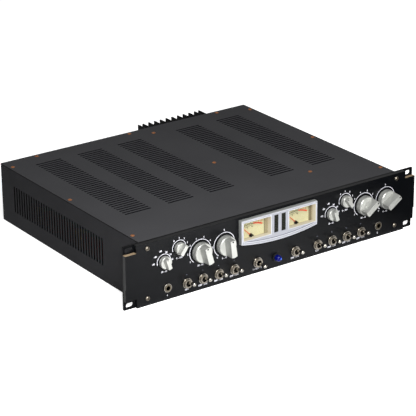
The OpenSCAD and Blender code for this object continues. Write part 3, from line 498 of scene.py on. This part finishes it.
def chassis_black():
    """Powder coat, with painted shade inside the box and on the slots' cut walls."""
    finish = Finish("chassis_black", "28282a", 0.6, specular=0.03)
    finish.mottle(50, "2b2b2d").smudge(30, 0.05).grain(0.45, 0.03)
    in_vents = finish.between("Y", *TRAY_VENT_ENDS)
    # Painted shade on the vents' cut walls
    finish.recolour(finish.both(in_vents, finish.facing("Y")), "060606")
    inside = finish.both(in_vents, finish.between("X", -TRAY_INSIDE_X, TRAY_INSIDE_X))
    # Painted shade on the box's inner walls
    finish.recolour(finish.both(inside, finish.facing("X")), "141312")
    return finish.material


def sink_black():
    finish = Finish("sink_black", "070708", 0.5, specular=0.05)
    finish.mottle(25, "0c0c0d").smudge(20, 0.06).grain(0.5, 0.02, stretch=(1, 1, 0.04))
    return finish.material


def screw_bright():
    finish = Finish("screw_bright", "7e786e", 0.4, metallic=1.0)
    finish.mottle(2.5, "686259").smudge(2).grain(0.25, 0.01)
    return finish.material


def screw_copper():
    finish = Finish("screw_copper", "a46e48", 0.42, metallic=0.6)
    finish.mottle(2.5, "82502e").smudge(2, 0.1).grain(0.3, 0.01)
    return finish.material


def bezel_face():
    finish = Finish("bezel_face", "a2a4ab", 0.42, metallic=0.35)
    finish.mottle(18, "9b9da5").smudge(12, 0.05).grain(0.3, 0.008)
    return finish.material


def bezel_rim():
    """Silver, with painted light making all that faces the front brighter."""
    finish = Finish("bezel_rim", "8e908c", 0.34, metallic=0.35)
    finish.mottle(3, "9c9e9c").smudge(12, 0.05).grain(0.3, 0.006)
    # Painted light: the front-facing faces are coloured brighter than the sides
    finish.recolour(finish.facing("Y", 0.1, 0.3), "c4c6cc")
    return finish.material


def bezel_line():
    finish = Finish("bezel_line", "5e606c", 0.45, metallic=0.35)
    finish.mottle(18, "565864").smudge(12, 0.05).grain(0.3, 0.006)
    return finish.material


def bezel_lining():
    """The cream walls of the bezel's windows, with a faint glow painted on them that stands in for the
    backlight falling on them.
    """
    finish = Finish("bezel_lining", "b0aa9a", 0.5)
    finish.mottle(6, "aea68e").smudge(5, 0.06).grain(0.3, 0.006)
    # Painted light: the glow stands in for the backlight falling on the walls
    finish.glow("e8e2d2", 0.06)
    return finish.material


# Painted shade along the cases' side walls near the dial, and a dark line near the glass: the wall's side,
# the strip's ends from the plate, and its colour
CASE_SHADE_AND_LINE_STRIPS = ((1, -1.6, 3.5, "7c745a"), (1, -2.6, -1.6, "5c4028"), (-1, 2.2, 3.5, "6c6a54"))
CASE_STRIP_BLUR = 0.2
CASE_SIDE_X = 10 * MM


def case_cream():
    finish = Finish("case_cream", "b2a990", 0.5)
    finish.mottle(9, "a89e82").smudge(8, 0.06).grain(0.4, 0.01)
    # Painted shade on the side walls near the dial, and a dark line near the glass
    for side, front, back, code in CASE_SHADE_AND_LINE_STRIPS:
        strip = finish.between("Y", depth(front - CASE_STRIP_BLUR), depth(back), CASE_STRIP_BLUR * MM)
        wall = finish.both(finish.beyond("X", 0, side * CASE_SIDE_X), finish.facing("X"))
        finish.recolour(finish.both(strip, wall), code)
    # Painted light: a faint glow stands in for the backlight falling on the case walls
    finish.glow("e8dab4", 0.06)
    return finish.material


def dial_yellow():
    finish = Finish("dial_yellow", "c6c29c", 0.7, specular=0.2)
    finish.mottle(7, "c0ba92").smudge(6, 0.05).grain(0.2, 0.01)
    finish.glow("fcf2c0", 0.18)
    return finish.material


def window_clear():
    finish = Finish("window_clear", "2a2c2e", 0.06, specular=0.4)
    finish.mottle(12, "303234").smudge(15, 0.03).grain(6, 0.01)
    finish.set("Alpha", 0.07)
    return finish.material


NEEDLE_Y = depth(2.3)
NEEDLE_HUB_RADIUS = 2.6 * MM


def needle_red(name, pivot_x):
    """A red needle with a black hub."""
    finish = Finish(name, "e4602c", 0.5)
    finish.mottle(2, "d85626").smudge(2, 0.06).grain(0.3, 0.004)
    finish.recolour(finish.around((pivot_x, NEEDLE_Y, PIVOT_Z), NEEDLE_HUB_RADIUS), "101010")
    return finish.material


def left_needle_red():
    return needle_red("left_needle_red", -METER_X)


def right_needle_red():
    return needle_red("right_needle_red", METER_X)


def column_dark():
    """Unlit segments with darker gaps between them."""
    finish = Finish("column_dark", "1d1e18", 0.4, specular=0.1)
    finish.mottle(3, "24251d").smudge(3).grain(0.4, 0.006)
    finish.recolour(finish.stripes("Z", pitch=2.46 * MM, share=0.35), "050505")
    return finish.material


def light_lens():
    finish = Finish("light_lens", "2c2e36", 0.2)
    finish.mottle(1, "34363e").smudge(1).grain(0.5, 0.01)
    return finish.material


# Painted highlight: a glowing spot on the jewel's front stands in for its glint
GLINT_COLOUR = (0.05, 0.2, 1.0, 1)
GLINT_CENTRE = (1.6 * MM, depth(-13.2), 14.6 * MM)
GLINT_RADIUS = 1.5 * MM


def jewel_blue():
    """A deep blue jewel with a painted glint: a small glowing spot stands in for its highlight."""
    finish = Finish("jewel_blue", "020a60", 0.1, specular=0.2)
    finish.mottle(2.5, "02084c").smudge(2, 0.05).grain(1.2, 0.03)
    finish.set("Emission Color", GLINT_COLOUR)
    finish.feed("Emission Strength", finish.around(GLINT_CENTRE, GLINT_RADIUS))
    return finish.material


def ring_black():
    finish = Finish("ring_black", "111113", 0.4, specular=0.3)
    finish.mottle(3, "18181a").smudge(3).grain(0.4, 0.01)
    return finish.material


def jack_dark():
    """Dull metal outside, black from the mouth backwards."""
    finish = Finish("jack_dark", "8c8474", 0.3, metallic=1.0)
    finish.mottle(3, "766c5a").smudge(2).grain(0.3, 0.008)
    finish.recolour(finish.beyond("Y", *JACK_MOUTH), "0a0a0a")
    return finish.material


def nut_chrome():
    finish = Finish("nut_chrome", "b4b0a8", 0.2, metallic=1.0)
    finish.mottle(3, "7c766c").smudge(2).grain(0.3, 0.008)
    return finish.material


def knob_satin():
    """Satin metal, with painted light making the fronts brighter, and a dark dot sunk in each pointer."""
    finish = Finish("knob_satin", "969793", 0.32, metallic=0.4)
    finish.mottle(9, "90918d").smudge(5, 0.02).grain(0.4, 0.002, stretch=(1, 0.15, 1))
    # Painted light: the front faces are coloured brighter than the sides
    finish.recolour(finish.facing("Y"), "bcbdb8")
    for channel in CHANNELS:
        for control in CONTROLS:
            spot = finish.around(dot_centre(channel, control), KNOB_RADIUS[control] * DOT_SPOT)
            finish.recolour(spot, "101010")
    return finish.material


def dot_black():
    finish = Finish("dot_black", "0a0a0a", 0.6, specular=0.05)
    finish.mottle(1, "121212").smudge(1, 0.06).grain(0.3, 0.01)
    return finish.material


# Painted shade: the black of the dark tubes in the toggles' bores
def bore_shade_black():
    finish = Finish("bore_shade_black", "0b0b0b", 0.6, specular=0.1)
    finish.mottle(1.5, "141312").smudge(1, 0.06).grain(0.4, 0.01)
    return finish.material


def shaft_steel():
    finish = Finish("shaft_steel", "a7a8a6", 0.35, metallic=1.0)
    finish.mottle(4, "94958f").smudge(3).grain(0.4, 0.01, stretch=(1, 0.1, 1))
    return finish.material


def switch_dark():
    finish = Finish("switch_dark", "3a332b", 0.5)
    finish.mottle(5, "463d33").smudge(4).grain(0.4, 0.02)
    return finish.material


def trim_blue():
    finish = Finish("trim_blue", "2f4a7c", 0.45)
    finish.mottle(5, "28406c").smudge(4).grain(0.4, 0.015)
    return finish.material


def toggle_body():
    """Red plastic behind the plate, and the bushing's metal in front of it."""
    finish = Finish("toggle_body", "8c2a22", 0.45)
    finish.mottle(4, "7a221c").smudge(4).grain(0.4, 0.015)
    before_plate = finish.beyond("Y", *BUSHING_START)
    finish.recolour(before_plate, "968f84")
    finish.feed("Metallic", before_plate)
    return finish.material


def lever_chrome():
    """Bright metal, with painted shade making it black where a lever goes into its bushing."""
    finish = Finish("lever_chrome", "b8b5ae", 0.16, metallic=1.0)
    finish.mottle(3, "a49f94").smudge(2, 0.05).grain(0.5, 0.006)
    # Painted shade: the lever is coloured black inside the bushing
    finish.recolour(finish.beyond("Y", *LEVER_ROOT), "080808")
    return finish.material


def transistor_dark():
    finish = Finish("transistor_dark", "1d1d1e", 0.45)
    finish.mottle(4, "262626").smudge(4).grain(0.3, 0.02)
    return finish.material


def inlet_black():
    finish = Finish("inlet_black", "151516", 0.4)
    finish.mottle(6, "1d1d1e").smudge(5).grain(0.4, 0.015)
    return finish.material


def connector_dark():
    finish = Finish("connector_dark", "232325", 0.42)
    finish.mottle(6, "2c2c2e").smudge(5).grain(0.4, 0.012)
    return finish.material


def board_green():
    finish = Finish("board_green", "1e5a36", 0.45)
    finish.mottle(8, "18482b").smudge(6).grain(0.6, 0.01, stretch=(1, 0.3, 1))
    return finish.material


def fastener_steel():
    finish = Finish("fastener_steel", "b3b1ab", 0.35, metallic=1.0)
    finish.mottle(3, "9d9b94").smudge(3).grain(0.3, 0.01)
    return finish.material


def divider_steel():
    finish = Finish("divider_steel", "9a9b99", 0.4, metallic=1.0)
    finish.mottle(25, "8b8c8a").smudge(14).grain(0.5, 0.012, stretch=(1, 0.1, 1))
    return finish.material


def winding_yellow():
    finish = Finish("winding_yellow", "b88a2c", 0.5)
    finish.mottle(6, "9c7322").smudge(5).grain(0.9, 0.06, stretch=(0.3, 0.3, 1))
    return finish.material


def can_grey():
    finish = Finish("can_grey", "8c8f90", 0.42, metallic=0.8)
    finish.mottle(12, "7c7f80").smudge(8).grain(0.4, 0.012)
    return finish.material


def capacitor_blue():
    finish = Finish("capacitor_blue", "1f3f86", 0.35)
    finish.mottle(12, "1a3672").smudge(8).grain(0.8, 0.01)
    return finish.material


# Other colours of film capacitors, by their distance behind the rack plate
FILM_COLOURS = {108: "2a4c9c", 184: "c89a26", 286: "c89a26"}
FILM_REACH = 9
FILM_BLUR = 0.2 * MM


def film_red():
    """Red capacitors, apart from the yellow and blue ones along the side wall."""
    finish = Finish("film_red", "c0391f", 0.4)
    finish.mottle(6, "a83018").smudge(5).grain(0.5, 0.01)
    for y, code in FILM_COLOURS.items():
        finish.recolour(finish.between("Y", depth(y - FILM_REACH), depth(y + FILM_REACH), FILM_BLUR), code)
    return finish.material


def print_white():
    finish = Finish("print_white", "dddde4", 0.6, specular=0.2)
    finish.mottle(3, "d0d0d8").smudge(3, 0.05).grain(0.2, 0.004)
    return finish.material


def scale_black():
    finish = Finish("scale_black", "2c2a22", 0.7, specular=0.2)
    finish.mottle(2, "383428").smudge(2, 0.05).grain(0.2, 0.003)
    return finish.material


def scale_red():
    finish = Finish("scale_red", "e4583c", 0.7, specular=0.2)
    finish.mottle(2, "d84c34").smudge(2, 0.05).grain(0.2, 0.003)
    finish.glow("e85038", 0.2)
    return finish.material


KNOBS = [f"{channel}_{control}_knob" for channel in CHANNELS for control in CONTROLS]
SHAFTS = [f"{channel}_{control}_shaft" for channel in CHANNELS for control in CONTROLS]
NODE_FINISHES = {
    plate_black: ["rack_plate"],
    panel_black: ["front_panel"],
    cover_grey: ["top_cover"],
    chassis_black: ["chassis_tray", "rear_panel"],
    sink_black: ["heat_sink"],
    screw_bright: ["panel_screws"],
    screw_copper: ["cover_screws"],
    bezel_face: ["meter_bezel"],
    case_cream: ["meter_cases"],
    dial_yellow: ["meter_dials"],
    window_clear: ["meter_windows"],
    left_needle_red: ["left_needle"],
    right_needle_red: ["right_needle"],
    column_dark: ["light_columns"],
    light_lens: ["status_lights"],
    jewel_blue: ["pilot_lamp"],
    ring_black: ["pilot_ring"],
    jack_dark: ["instrument_jacks"],
    nut_chrome: ["panel_nuts"],
    knob_satin: KNOBS,
    shaft_steel: SHAFTS,
    switch_dark: ["selector_switches"],
    trim_blue: ["trim_controls"],
    toggle_body: ["toggle_bodies"],
    lever_chrome: TOGGLES,
    transistor_dark: ["power_transistors"],
    inlet_black: ["mains_inlet"],
    connector_dark: ["mic_inputs", "line_outputs"],
    board_green: ["circuit_boards"],
    fastener_steel: ["inner_fasteners"],
    divider_steel: ["inner_divider"],
    winding_yellow: ["mains_transformer"],
    can_grey: ["audio_transformers"],
    capacitor_blue: ["smoothing_capacitors"],
    film_red: ["film_capacitors"],
}


def dress_nodes():
    """Gives every CAD node its finish."""
    for make, names in NODE_FINISHES.items():
        material = make()
        for name in names:
            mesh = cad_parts[name].data
            mesh.materials.clear()
            mesh.materials.append(material)


BEVEL_WELD = 0.001 * MM
BEVEL_STEPS = 3
BEVEL_ANGLE = math.radians(30)


def soften(width, names):
    """Rounds the sharp edges of CAD nodes by a width with modifiers."""
    for name in names:
        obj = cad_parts[name]
        weld = obj.modifiers.new("weld", "WELD")
        weld.merge_threshold = BEVEL_WELD
        bevel = obj.modifiers.new("round", "BEVEL")
        bevel.width = width
        bevel.segments = BEVEL_STEPS
        bevel.limit_method = "ANGLE"
        bevel.angle_limit = BEVEL_ANGLE
        bevel.harden_normals = True


# Pieces

WELD_DISTANCE = 0.002 * MM
# An inset goes no further than 1 / SHARPEST_CORNER of its distance into a corner
SHARPEST_CORNER = 0.2
# The share of a font's size that its figures are high, and how much their strokes are thickened
FIGURE_SHARE = 0.72
FIGURE_WEIGHT = 0.05


def piece(name, bm, materials, body="chassis"):
    """Turns a bmesh into a piece that rides on a CAD body."""
    mesh = bpy.data.meshes.new(name)
    bm.to_mesh(mesh)
    bm.free()
    for material in materials:
        mesh.materials.append(material)
    obj = link(bpy.data.objects.new(name, mesh))
    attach(obj, body)
    return obj


def join_seams(bm):
    """Merges the points that lie on each other and turns all faces outwards."""
    bmesh.ops.remove_doubles(bm, verts=bm.verts, dist=WELD_DISTANCE)
    bmesh.ops.recalc_face_normals(bm, faces=bm.faces)


def flat_outline(points, width):
    """The two edges of a line width wide along points in the X-Z plane."""
    left = []
    right = []
    last = len(points) - 1
    for i, (x, z) in enumerate(points):
        before = points[max(i - 1, 0)]
        after = points[min(i + 1, last)]
        dx = after[0] - before[0]
        dz = after[1] - before[1]
        length = math.hypot(dx, dz)
        nx = -dz / length * width / 2
        nz = dx / length * width / 2
        left.append((x + nx, z + nz))
        right.append((x - nx, z - nz))
    return left, right


def draw_line(bm, points, width, y):
    """A flat painted line at depth y."""
    left, right = flat_outline(points, width)
    a = [bm.verts.new((x, y, z)) for x, z in left]
    b = [bm.verts.new((x, y, z)) for x, z in right]
    for i in range(len(points) - 1):
        bm.faces.new((a[i], b[i], b[i + 1], a[i + 1]))


def draw_arc(bm, x, z, radius, start, end, width, y, steps=48):
    """A flat painted arc around (x, z) at depth y."""
    angles = [start + (end - start) * i / steps for i in range(steps + 1)]
    draw_line(bm, [dial_point(x, z, radius, a) for a in angles], width, y)


def draw_number(bm, text, x, z, height, y):
    """A plain number or ON/OFF, centred at (x, z)."""
    curve = bpy.data.curves.new("number", "FONT")
    curve.body = text
    curve.size = height / FIGURE_SHARE
    curve.align_x = "CENTER"
    curve.align_y = "CENTER"
    curve.resolution_u = 2
    curve.offset = FIGURE_WEIGHT * height
    obj = link(bpy.data.objects.new("number", curve))
    bpy.context.view_layer.update()
    flat = obj.evaluated_get(bpy.context.evaluated_depsgraph_get()).to_mesh()
    upright = Matrix.Translation((x, y, z)) @ Matrix.Rotation(math.radians(90), 4, "X")
    flat.transform(upright)
    bm.from_mesh(flat)
    bpy.data.objects.remove(obj)
    bpy.data.curves.remove(curve)


def fill_between(bm, loops, y):
    """A flat face at depth y, bounded by loops of (x, z) points."""
    verts = [bm.verts.new((x, y, z)) for points in loops for x, z in points]
    outlines = [[Vector((x / MM, z / MM, 0)) for x, z in points] for points in loops]
    for corners in tessellate_polygon(outlines):
        bm.faces.new([verts[i] for i in corners])


def inset(points, distance):
    """A closed loop of (x, z) points, anticlockwise, moved inwards by a distance."""
    moved = []
    count = len(points)
    for i, (x, z) in enumerate(points):
        x0, z0 = points[i - 1]
        x1, z1 = points[(i + 1) % count]
        before = Vector((x - x0, z - z0)).normalized()
        after = Vector((x1 - x, z1 - z)).normalized()
        inward_before = Vector((-before.y, before.x))
        inward_after = Vector((-after.y, after.x))
        middle = (inward_before + inward_after).normalized()
        reach = distance / max(middle.dot(inward_before), SHARPEST_CORNER)
        moved.append((x + middle.x * reach, z + middle.y * reach))
    return moved


def sweep(bm, points, profile, material=0):
    """A moulding along a closed loop: the profile holds pairs of an inset and a depth."""
    rows = [[bm.verts.new((x, y, z)) for x, z in inset(points, distance)] for distance, y in profile]
    count = len(points)
    for near, far in zip(rows, rows[1:]):
        for i in range(count):
            j = (i + 1) % count
            face = bm.faces.new((near[i], near[j], far[j], far[i]))
            face.material_index = material


def rectangle(x, z, width, height):
    """Anticlockwise corners, seen from the front."""
    return [(x - width / 2, z - height / 2), (x + width / 2, z - height / 2),
            (x + width / 2, z + height / 2), (x - width / 2, z + height / 2)]


def circle(x, z, radius, steps=32):
    """Anticlockwise points, seen from the front."""
    return [(x + radius * math.cos(math.tau * i / steps), z + radius * math.sin(math.tau * i / steps))
            for i in range(steps)]


# Meter bezel

BEZEL_SAG = 6.3 * MM
BEZEL_BACK = depth(-5.85)
BEZEL_FRONT = depth(-13.0)
BEZEL_FACE = depth(-12.3)
RIM_WIDTH = 1.6 * MM
RIM_EDGE = 0.4 * MM
# The rim's rounded side, as insets and shares of its depth
RIM_ROUND = 3.0 * MM
RIM_CURVE = ((0, 1), (0.15 * MM, 0.5), (0.45 * MM, 0.15), (0.95 * MM, 0))
FRAME_WIDTH = 1.2 * MM
FRAME_EDGE = 0.3 * MM
ARC_STEPS = 48
WINDOW_Z = 67.9 * MM
WINDOW_SIZE = (45.0 * MM, 25.4 * MM)
COLUMN_X = 6.1 * MM
COLUMN_SIZE = (6.8 * MM, 25.0 * MM)
# Places of the bezel's finishes among its materials
FACE_PAINT = 0
RIM_PAINT = 1
LINE_PAINT = 2
LINING_PAINT = 3
# The two lines along the lower edge: each one's shift upwards, width, height and finish
RIDGE_INSET = 1.6 * MM
RIDGE_LIFT = 3.4 * MM
RIDGE_SAG = 0.85 * BEZEL_SAG
RIDGE_LINES = ((0, 1.3 * MM, 0.4 * MM, RIM_PAINT), (1.1 * MM, 0.8 * MM, 0.06 * MM, LINE_PAINT))
RIDGE_EDGE = 0.2 * MM
RIDGE_FOOT = 0.1 * MM
# The tops close just short of each line's middle, as a share of its width
RIDGE_CLOSE = 0.49


def bezel_arc(half_width, corner_z, sag):
    """Points of the bezel's lower edge, from left to right."""
    radius = (half_width ** 2 + sag ** 2) / (2 * sag)
    reach = math.asin(half_width / radius)
    angles = [reach * (2 * i / ARC_STEPS - 1) for i in range(ARC_STEPS + 1)]
    centre_z = corner_z - sag + radius
    return [(radius * math.sin(a), centre_z - radius * math.cos(a)) for a in angles]


def bezel_outline():
    low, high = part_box("meter_bezel")
    lower_edge = bezel_arc(high.x, low.z + BEZEL_SAG, BEZEL_SAG)
    return lower_edge + [(high.x, high.z), (low.x, high.z)]


def bezel_frame(bm, opening):
    """A raised frame around an opening, and the opening's inner walls."""
    wall_end = BEZEL_FRONT + FRAME_EDGE
    sweep(bm, opening, [(0, BEZEL_BACK), (0, wall_end)], LINING_PAINT)
    sweep(bm, opening, [(0, wall_end), (-FRAME_EDGE, BEZEL_FRONT),
                        (-FRAME_WIDTH + FRAME_EDGE, BEZEL_FRONT), (-FRAME_WIDTH, BEZEL_FACE)], RIM_PAINT)


def bezel_ridge(bm):
    """A fine dark line along a raised one that follows the lower edge."""
    low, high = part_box("meter_bezel")
    line = bezel_arc(high.x - RIM_WIDTH - RIDGE_INSET, low.z + BEZEL_SAG + RIDGE_LIFT, RIDGE_SAG)
    for shift, width, height, paint_place in RIDGE_LINES:
        upper, lower = flat_outline([(x, z + shift) for x, z in line], width)
        top = BEZEL_FACE - height
        sweep(bm, lower + upper[::-1], [(0, BEZEL_FACE + RIDGE_FOOT), (0, BEZEL_FACE - height / 2),
                                        (RIDGE_EDGE, top), (width * RIDGE_CLOSE, top)], paint_place)


def rim_profile():
    """Insets and depths from the panel over the bezel's rim to its sunk face."""
    curve = [(distance, BEZEL_FRONT + RIM_ROUND * share) for distance, share in RIM_CURVE]
    return [(0, BEZEL_BACK), *curve, (RIM_WIDTH - RIM_EDGE, BEZEL_FRONT), (RIM_WIDTH, BEZEL_FACE)]


def add_bezel():
    """The meter bezel with its bright rim, sunk face, window frames and lower ridge."""
    bm = bmesh.new()
    outline = bezel_outline()
    sweep(bm, outline, rim_profile(), RIM_PAINT)
    windows = [rectangle(side * METER_X, WINDOW_Z, *WINDOW_SIZE) for side in (-1, 1)]
    columns = [rectangle(side * COLUMN_X, WINDOW_Z, *COLUMN_SIZE) for side in (-1, 1)]
    for window in windows:
        bezel_frame(bm, window)
    for column in columns:
        sweep(bm, column, [(0, BEZEL_BACK), (0, BEZEL_FACE)], FACE_PAINT)
    openings = [inset(window, -FRAME_WIDTH) for window in windows] + columns
    fill_between(bm, [inset(outline, RIM_WIDTH), *openings], BEZEL_FACE)
    fill_between(bm, [outline, *windows, *columns], BEZEL_BACK)
    bezel_ridge(bm)
    join_seams(bm)
    materials = [bezel_face(), bezel_rim(), bezel_line(), bezel_lining()]
    bezel = piece("bezel_moulded", bm, materials)
    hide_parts("meter_bezel")


# Meters

PRINT_LIFT = 0.05 * MM
DIAL_FACE = depth(3.5) - PRINT_LIFT
# The scale's flat arc: its centre's drop below the needle's pivot, and its ends in degrees from straight up
SCALE_RADIUS = 50 * MM
SCALE_DROP = 34.6 * MM
SCALE_START = -20
SCALE_RED = 6
SCALE_END = 23
MARK_WIDTH = 0.5 * MM
BLACK_MARKS = (-20, -15.5, -11.5, -8, -5, -2, 1, 3.5)
RED_MARKS = (6, 10, 14.5, 19, 23)
# Each row's numbers with their angles
UPPER_NUMBERS = {"20": -19, "10": -13, "7": -8, "5": -4, "3": 0.5}
RED_NUMBERS = {"0": 6, "1": 10.5, "2": 15, "3": 19.5}
LOWER_NUMBERS = {"0": -15, "50": -6, "100": 4}


def scale_point(x, lift, degrees):
    """A point at a height over the scale's arc."""
    return dial_point(x, PIVOT_Z - SCALE_DROP, SCALE_RADIUS + lift, degrees)


def draw_scale_marks(bm, x, height, places):
    for degrees in places:
        draw_line(bm, [scale_point(x, 0, degrees), scale_point(x, height, degrees)], MARK_WIDTH, DIAL_FACE)


def draw_scale_arc(bm, x, start, end, lift, width):
    draw_arc(bm, x, PIVOT_Z - SCALE_DROP, SCALE_RADIUS + lift, start, end, width, DIAL_FACE)


def draw_scale_numbers(bm, x, numbers, lift, height):
    for number, degrees in numbers.items():
        nx, nz = scale_point(x, lift, degrees)
        draw_number(bm, number, nx, nz, height, DIAL_FACE)


def draw_scale(black, red, x):
    """A meter's marks and numbers, black at first and red at the end."""
    draw_scale_arc(black, x, SCALE_START, SCALE_RED, lift=0, width=0.6 * MM)
    draw_scale_arc(black, x, SCALE_START, SCALE_RED, lift=-2.2 * MM, width=0.35 * MM)
    draw_scale_arc(red, x, SCALE_RED, SCALE_END, lift=0.4 * MM, width=1.9 * MM)
    draw_scale_marks(black, x, 1.6 * MM, BLACK_MARKS)
    draw_scale_marks(red, x, 2.2 * MM, RED_MARKS)
    draw_scale_numbers(black, x, UPPER_NUMBERS, lift=3.0 * MM, height=1.9 * MM)
    draw_scale_numbers(red, x, RED_NUMBERS, lift=3.6 * MM, height=2.2 * MM)
    draw_scale_numbers(black, x, LOWER_NUMBERS, lift=-4.0 * MM, height=1.5 * MM)


def add_meter_scales():
    black = bmesh.new()
    red = bmesh.new()
    for side in (-1, 1):
        draw_scale(black, red, side * METER_X)
    piece("meter_scale_black", black, [scale_black()])
    piece("meter_scale_red", red, [scale_red()])


# Caps in front of the needles' pivots

CAP_Z = 53.5 * MM
CAP_HALF_WIDTH = 3.6 * MM
CAP_RISE = 1.9 * MM
CAP_STEPS = 20
CAP_FRONT = depth(-0.2)
CAP_BACK = depth(0.85)
CAP_EDGE = 0.2 * MM
FOOT_HALF_WIDTH = 0.6 * MM
FOOT_TOP = CAP_Z - 0.3 * MM
CASE_FLOOR = 51.4 * MM


def cap_outline(x):
    """A half-round cap over the pivot on a short foot."""
    arch = []
    for i in range(CAP_STEPS + 1):
        angle = math.pi * i / CAP_STEPS
        arch.append((x + CAP_HALF_WIDTH * math.cos(angle), CAP_Z + CAP_RISE * math.sin(angle)))
    foot = [(x - FOOT_HALF_WIDTH, FOOT_TOP), (x - FOOT_HALF_WIDTH, CASE_FLOOR),
            (x + FOOT_HALF_WIDTH, CASE_FLOOR), (x + FOOT_HALF_WIDTH, FOOT_TOP)]
    return arch + foot


def add_hub_covers():
    bm = bmesh.new()
    for side in (-1, 1):
        outline = cap_outline(side * METER_X)
        sweep(bm, outline, [(0, CAP_BACK), (0, CAP_FRONT + CAP_EDGE), (CAP_EDGE, CAP_FRONT)])
        fill_between(bm, [outline], CAP_BACK)
        fill_between(bm, [inset(outline, CAP_EDGE)], CAP_FRONT)
    join_seams(bm)
    piece("hub_covers", bm, [dot_black()])


# Painted shade in the toggles' bushings: dark tubes that blacken the bores

BORE_SHADE_RADIUS = 3.97 * MM
BORE_SHADE_WALL = 0.35 * MM
BORE_SHADE_FRONT = depth(-8.9)
BORE_SHADE_BACK = depth(-5.8)
BORE_SHADE_EDGE = 0.3 * MM


def add_toggle_bore_shade():
    bm = bmesh.new()
    # A dark tube in each bushing stands in for the shade in its bore
    for name in TOGGLES:
        x = centre_of(name)[0]
        sweep(bm, circle(x, TOGGLE_Z, BORE_SHADE_RADIUS), [
            (0, BORE_SHADE_BACK), (0, BORE_SHADE_FRONT), (BORE_SHADE_WALL, BORE_SHADE_FRONT + BORE_SHADE_EDGE),
            (BORE_SHADE_WALL, BORE_SHADE_BACK), (0, BORE_SHADE_BACK)])
    join_seams(bm)
    piece("toggle_bore_shade", bm, [bore_shade_black()])


# Prints on the panel

UPPER_FACE = depth(-5.8) - PRINT_LIFT
LOWER_FACE = depth(-4.1) - PRINT_LIFT
RING_WIDTH = 0.8 * MM
PRINT_HEIGHT = 2.4 * MM

# Around each knob, in millimetres and in degrees clockwise from straight up: the ring's radius and ends, how
# far out the numbers stand on the left and on the right, the numbers themselves, and the range with its drop
DIALS = {
    "input": {
        "ring": 10.5, "arc": (-108, 108), "reach": (16.2, 12.8), "name": ("10 - 60", -14.2),
        "marks": {-90: "-60", -54: "-50", -18: "-40", 18: "30", 54: "20", 90: "10"},
    },
    "filter": {
        "ring": 10.5, "arc": (-108, 108), "reach": (13.6, 13.6), "name": ("0 - 300", -14.2),
        "marks": {-36: "0", 0: "1", 36: "2", 72: "3"},
    },
    "gain": {
        "ring": 16.8, "arc": (-140, 140), "reach": (19.8, 19.8), "name": ("20 - 60", -19.5),
        "marks": {-126: "1", -90: "2", -54: "3", -18: "4", 18: "5", 54: "6", 90: "7", 126: "8"},
    },
    "trim": {
        "ring": 16.8, "arc": (-145, 145), "reach": (20.2, 20.2), "name": ("0 - 10", -19.5),
        "marks": {-145: "0", 0: "5", 145: "10"},
    },
}
TOGGLE_WORDS = {"1": "OFF", "2": "OFF - ON", "3": "OFF - ON", "4": "OFF - ON"}
TOGGLE_WORD_Z = 6.4 * MM
JACK_X = {"1": -177 * MM, "2": 177 * MM}
JACK_NUMBER_Z = 6.0 * MM


def draw_dial(bm, channel, control):
    """The ring, numbers and range around one knob."""
    x, z = centre_of(f"{channel}_{control}_shaft")
    dial = DIALS[control]
    start, end = dial["arc"]
    draw_arc(bm, x, z, dial["ring"] * MM, start, end, RING_WIDTH, UPPER_FACE)
    for angle, number in dial["marks"].items():
        reach = dial["reach"][0 if angle < 0 else 1] * MM
        nx, nz = dial_point(x, z, reach, angle)
        draw_number(bm, number, nx, nz, PRINT_HEIGHT, UPPER_FACE)
    text, drop = dial["name"]
    draw_number(bm, text, x, z + drop * MM, PRINT_HEIGHT, UPPER_FACE)


def draw_toggle_word(bm, name, word):
    draw_number(bm, word, centre_of(name)[0], TOGGLE_WORD_Z, PRINT_HEIGHT, LOWER_FACE)


def draw_toggle_words(bm):
    for channel in CHANNELS:
        for number, word in TOGGLE_WORDS.items():
            draw_toggle_word(bm, f"{channel}_toggle_{number}", word)
    draw_toggle_word(bm, "meter_toggle", "1 - OFF - 2")
    draw_toggle_word(bm, "power_toggle", "OFF - ON")


def add_panel_prints():
    bm = bmesh.new()
    for channel in CHANNELS:
        for control in CONTROLS:
            draw_dial(bm, channel, control)
    draw_toggle_words(bm)
    for number, x in JACK_X.items():
        draw_number(bm, number, x, JACK_NUMBER_Z, PRINT_HEIGHT, LOWER_FACE)
    piece("panel_prints", bm, [print_white()])


# Dots in the knobs' pointers

def add_knob_dot(channel, control, dot_paint):
    """The painted dot sunk in a knob's pointer."""
    bm = bmesh.new()
    bmesh.ops.create_uvsphere(bm, u_segments=20, v_segments=10, radius=KNOB_RADIUS[control] * DOT_SHARE)
    sunk = dot_centre(channel, control) + Vector((0, DOT_DEPTH, 0))
    flat = Matrix.Translation(sunk) @ Matrix.Diagonal((1, DOT_FLATNESS, 1, 1))
    bmesh.ops.transform(bm, matrix=flat, verts=bm.verts)
    piece(f"{channel}_{control}_dot", bm, [dot_paint], body=f"{channel}_{control}")


def add_knob_dots():
    dot_paint = dot_black()
    for channel in CHANNELS:
        for control in CONTROLS:
            add_knob_dot(channel, control, dot_paint)


add_camera()
add_studio()
dress_nodes()
soften(0.7 * MM, KNOBS)
soften(0.3 * MM, ["panel_nuts", "pilot_ring", "toggle_bodies", "panel_screws"])
add_bezel()
add_meter_scales()
add_hub_covers()
add_toggle_bore_shade()
add_panel_prints()
add_knob_dots()
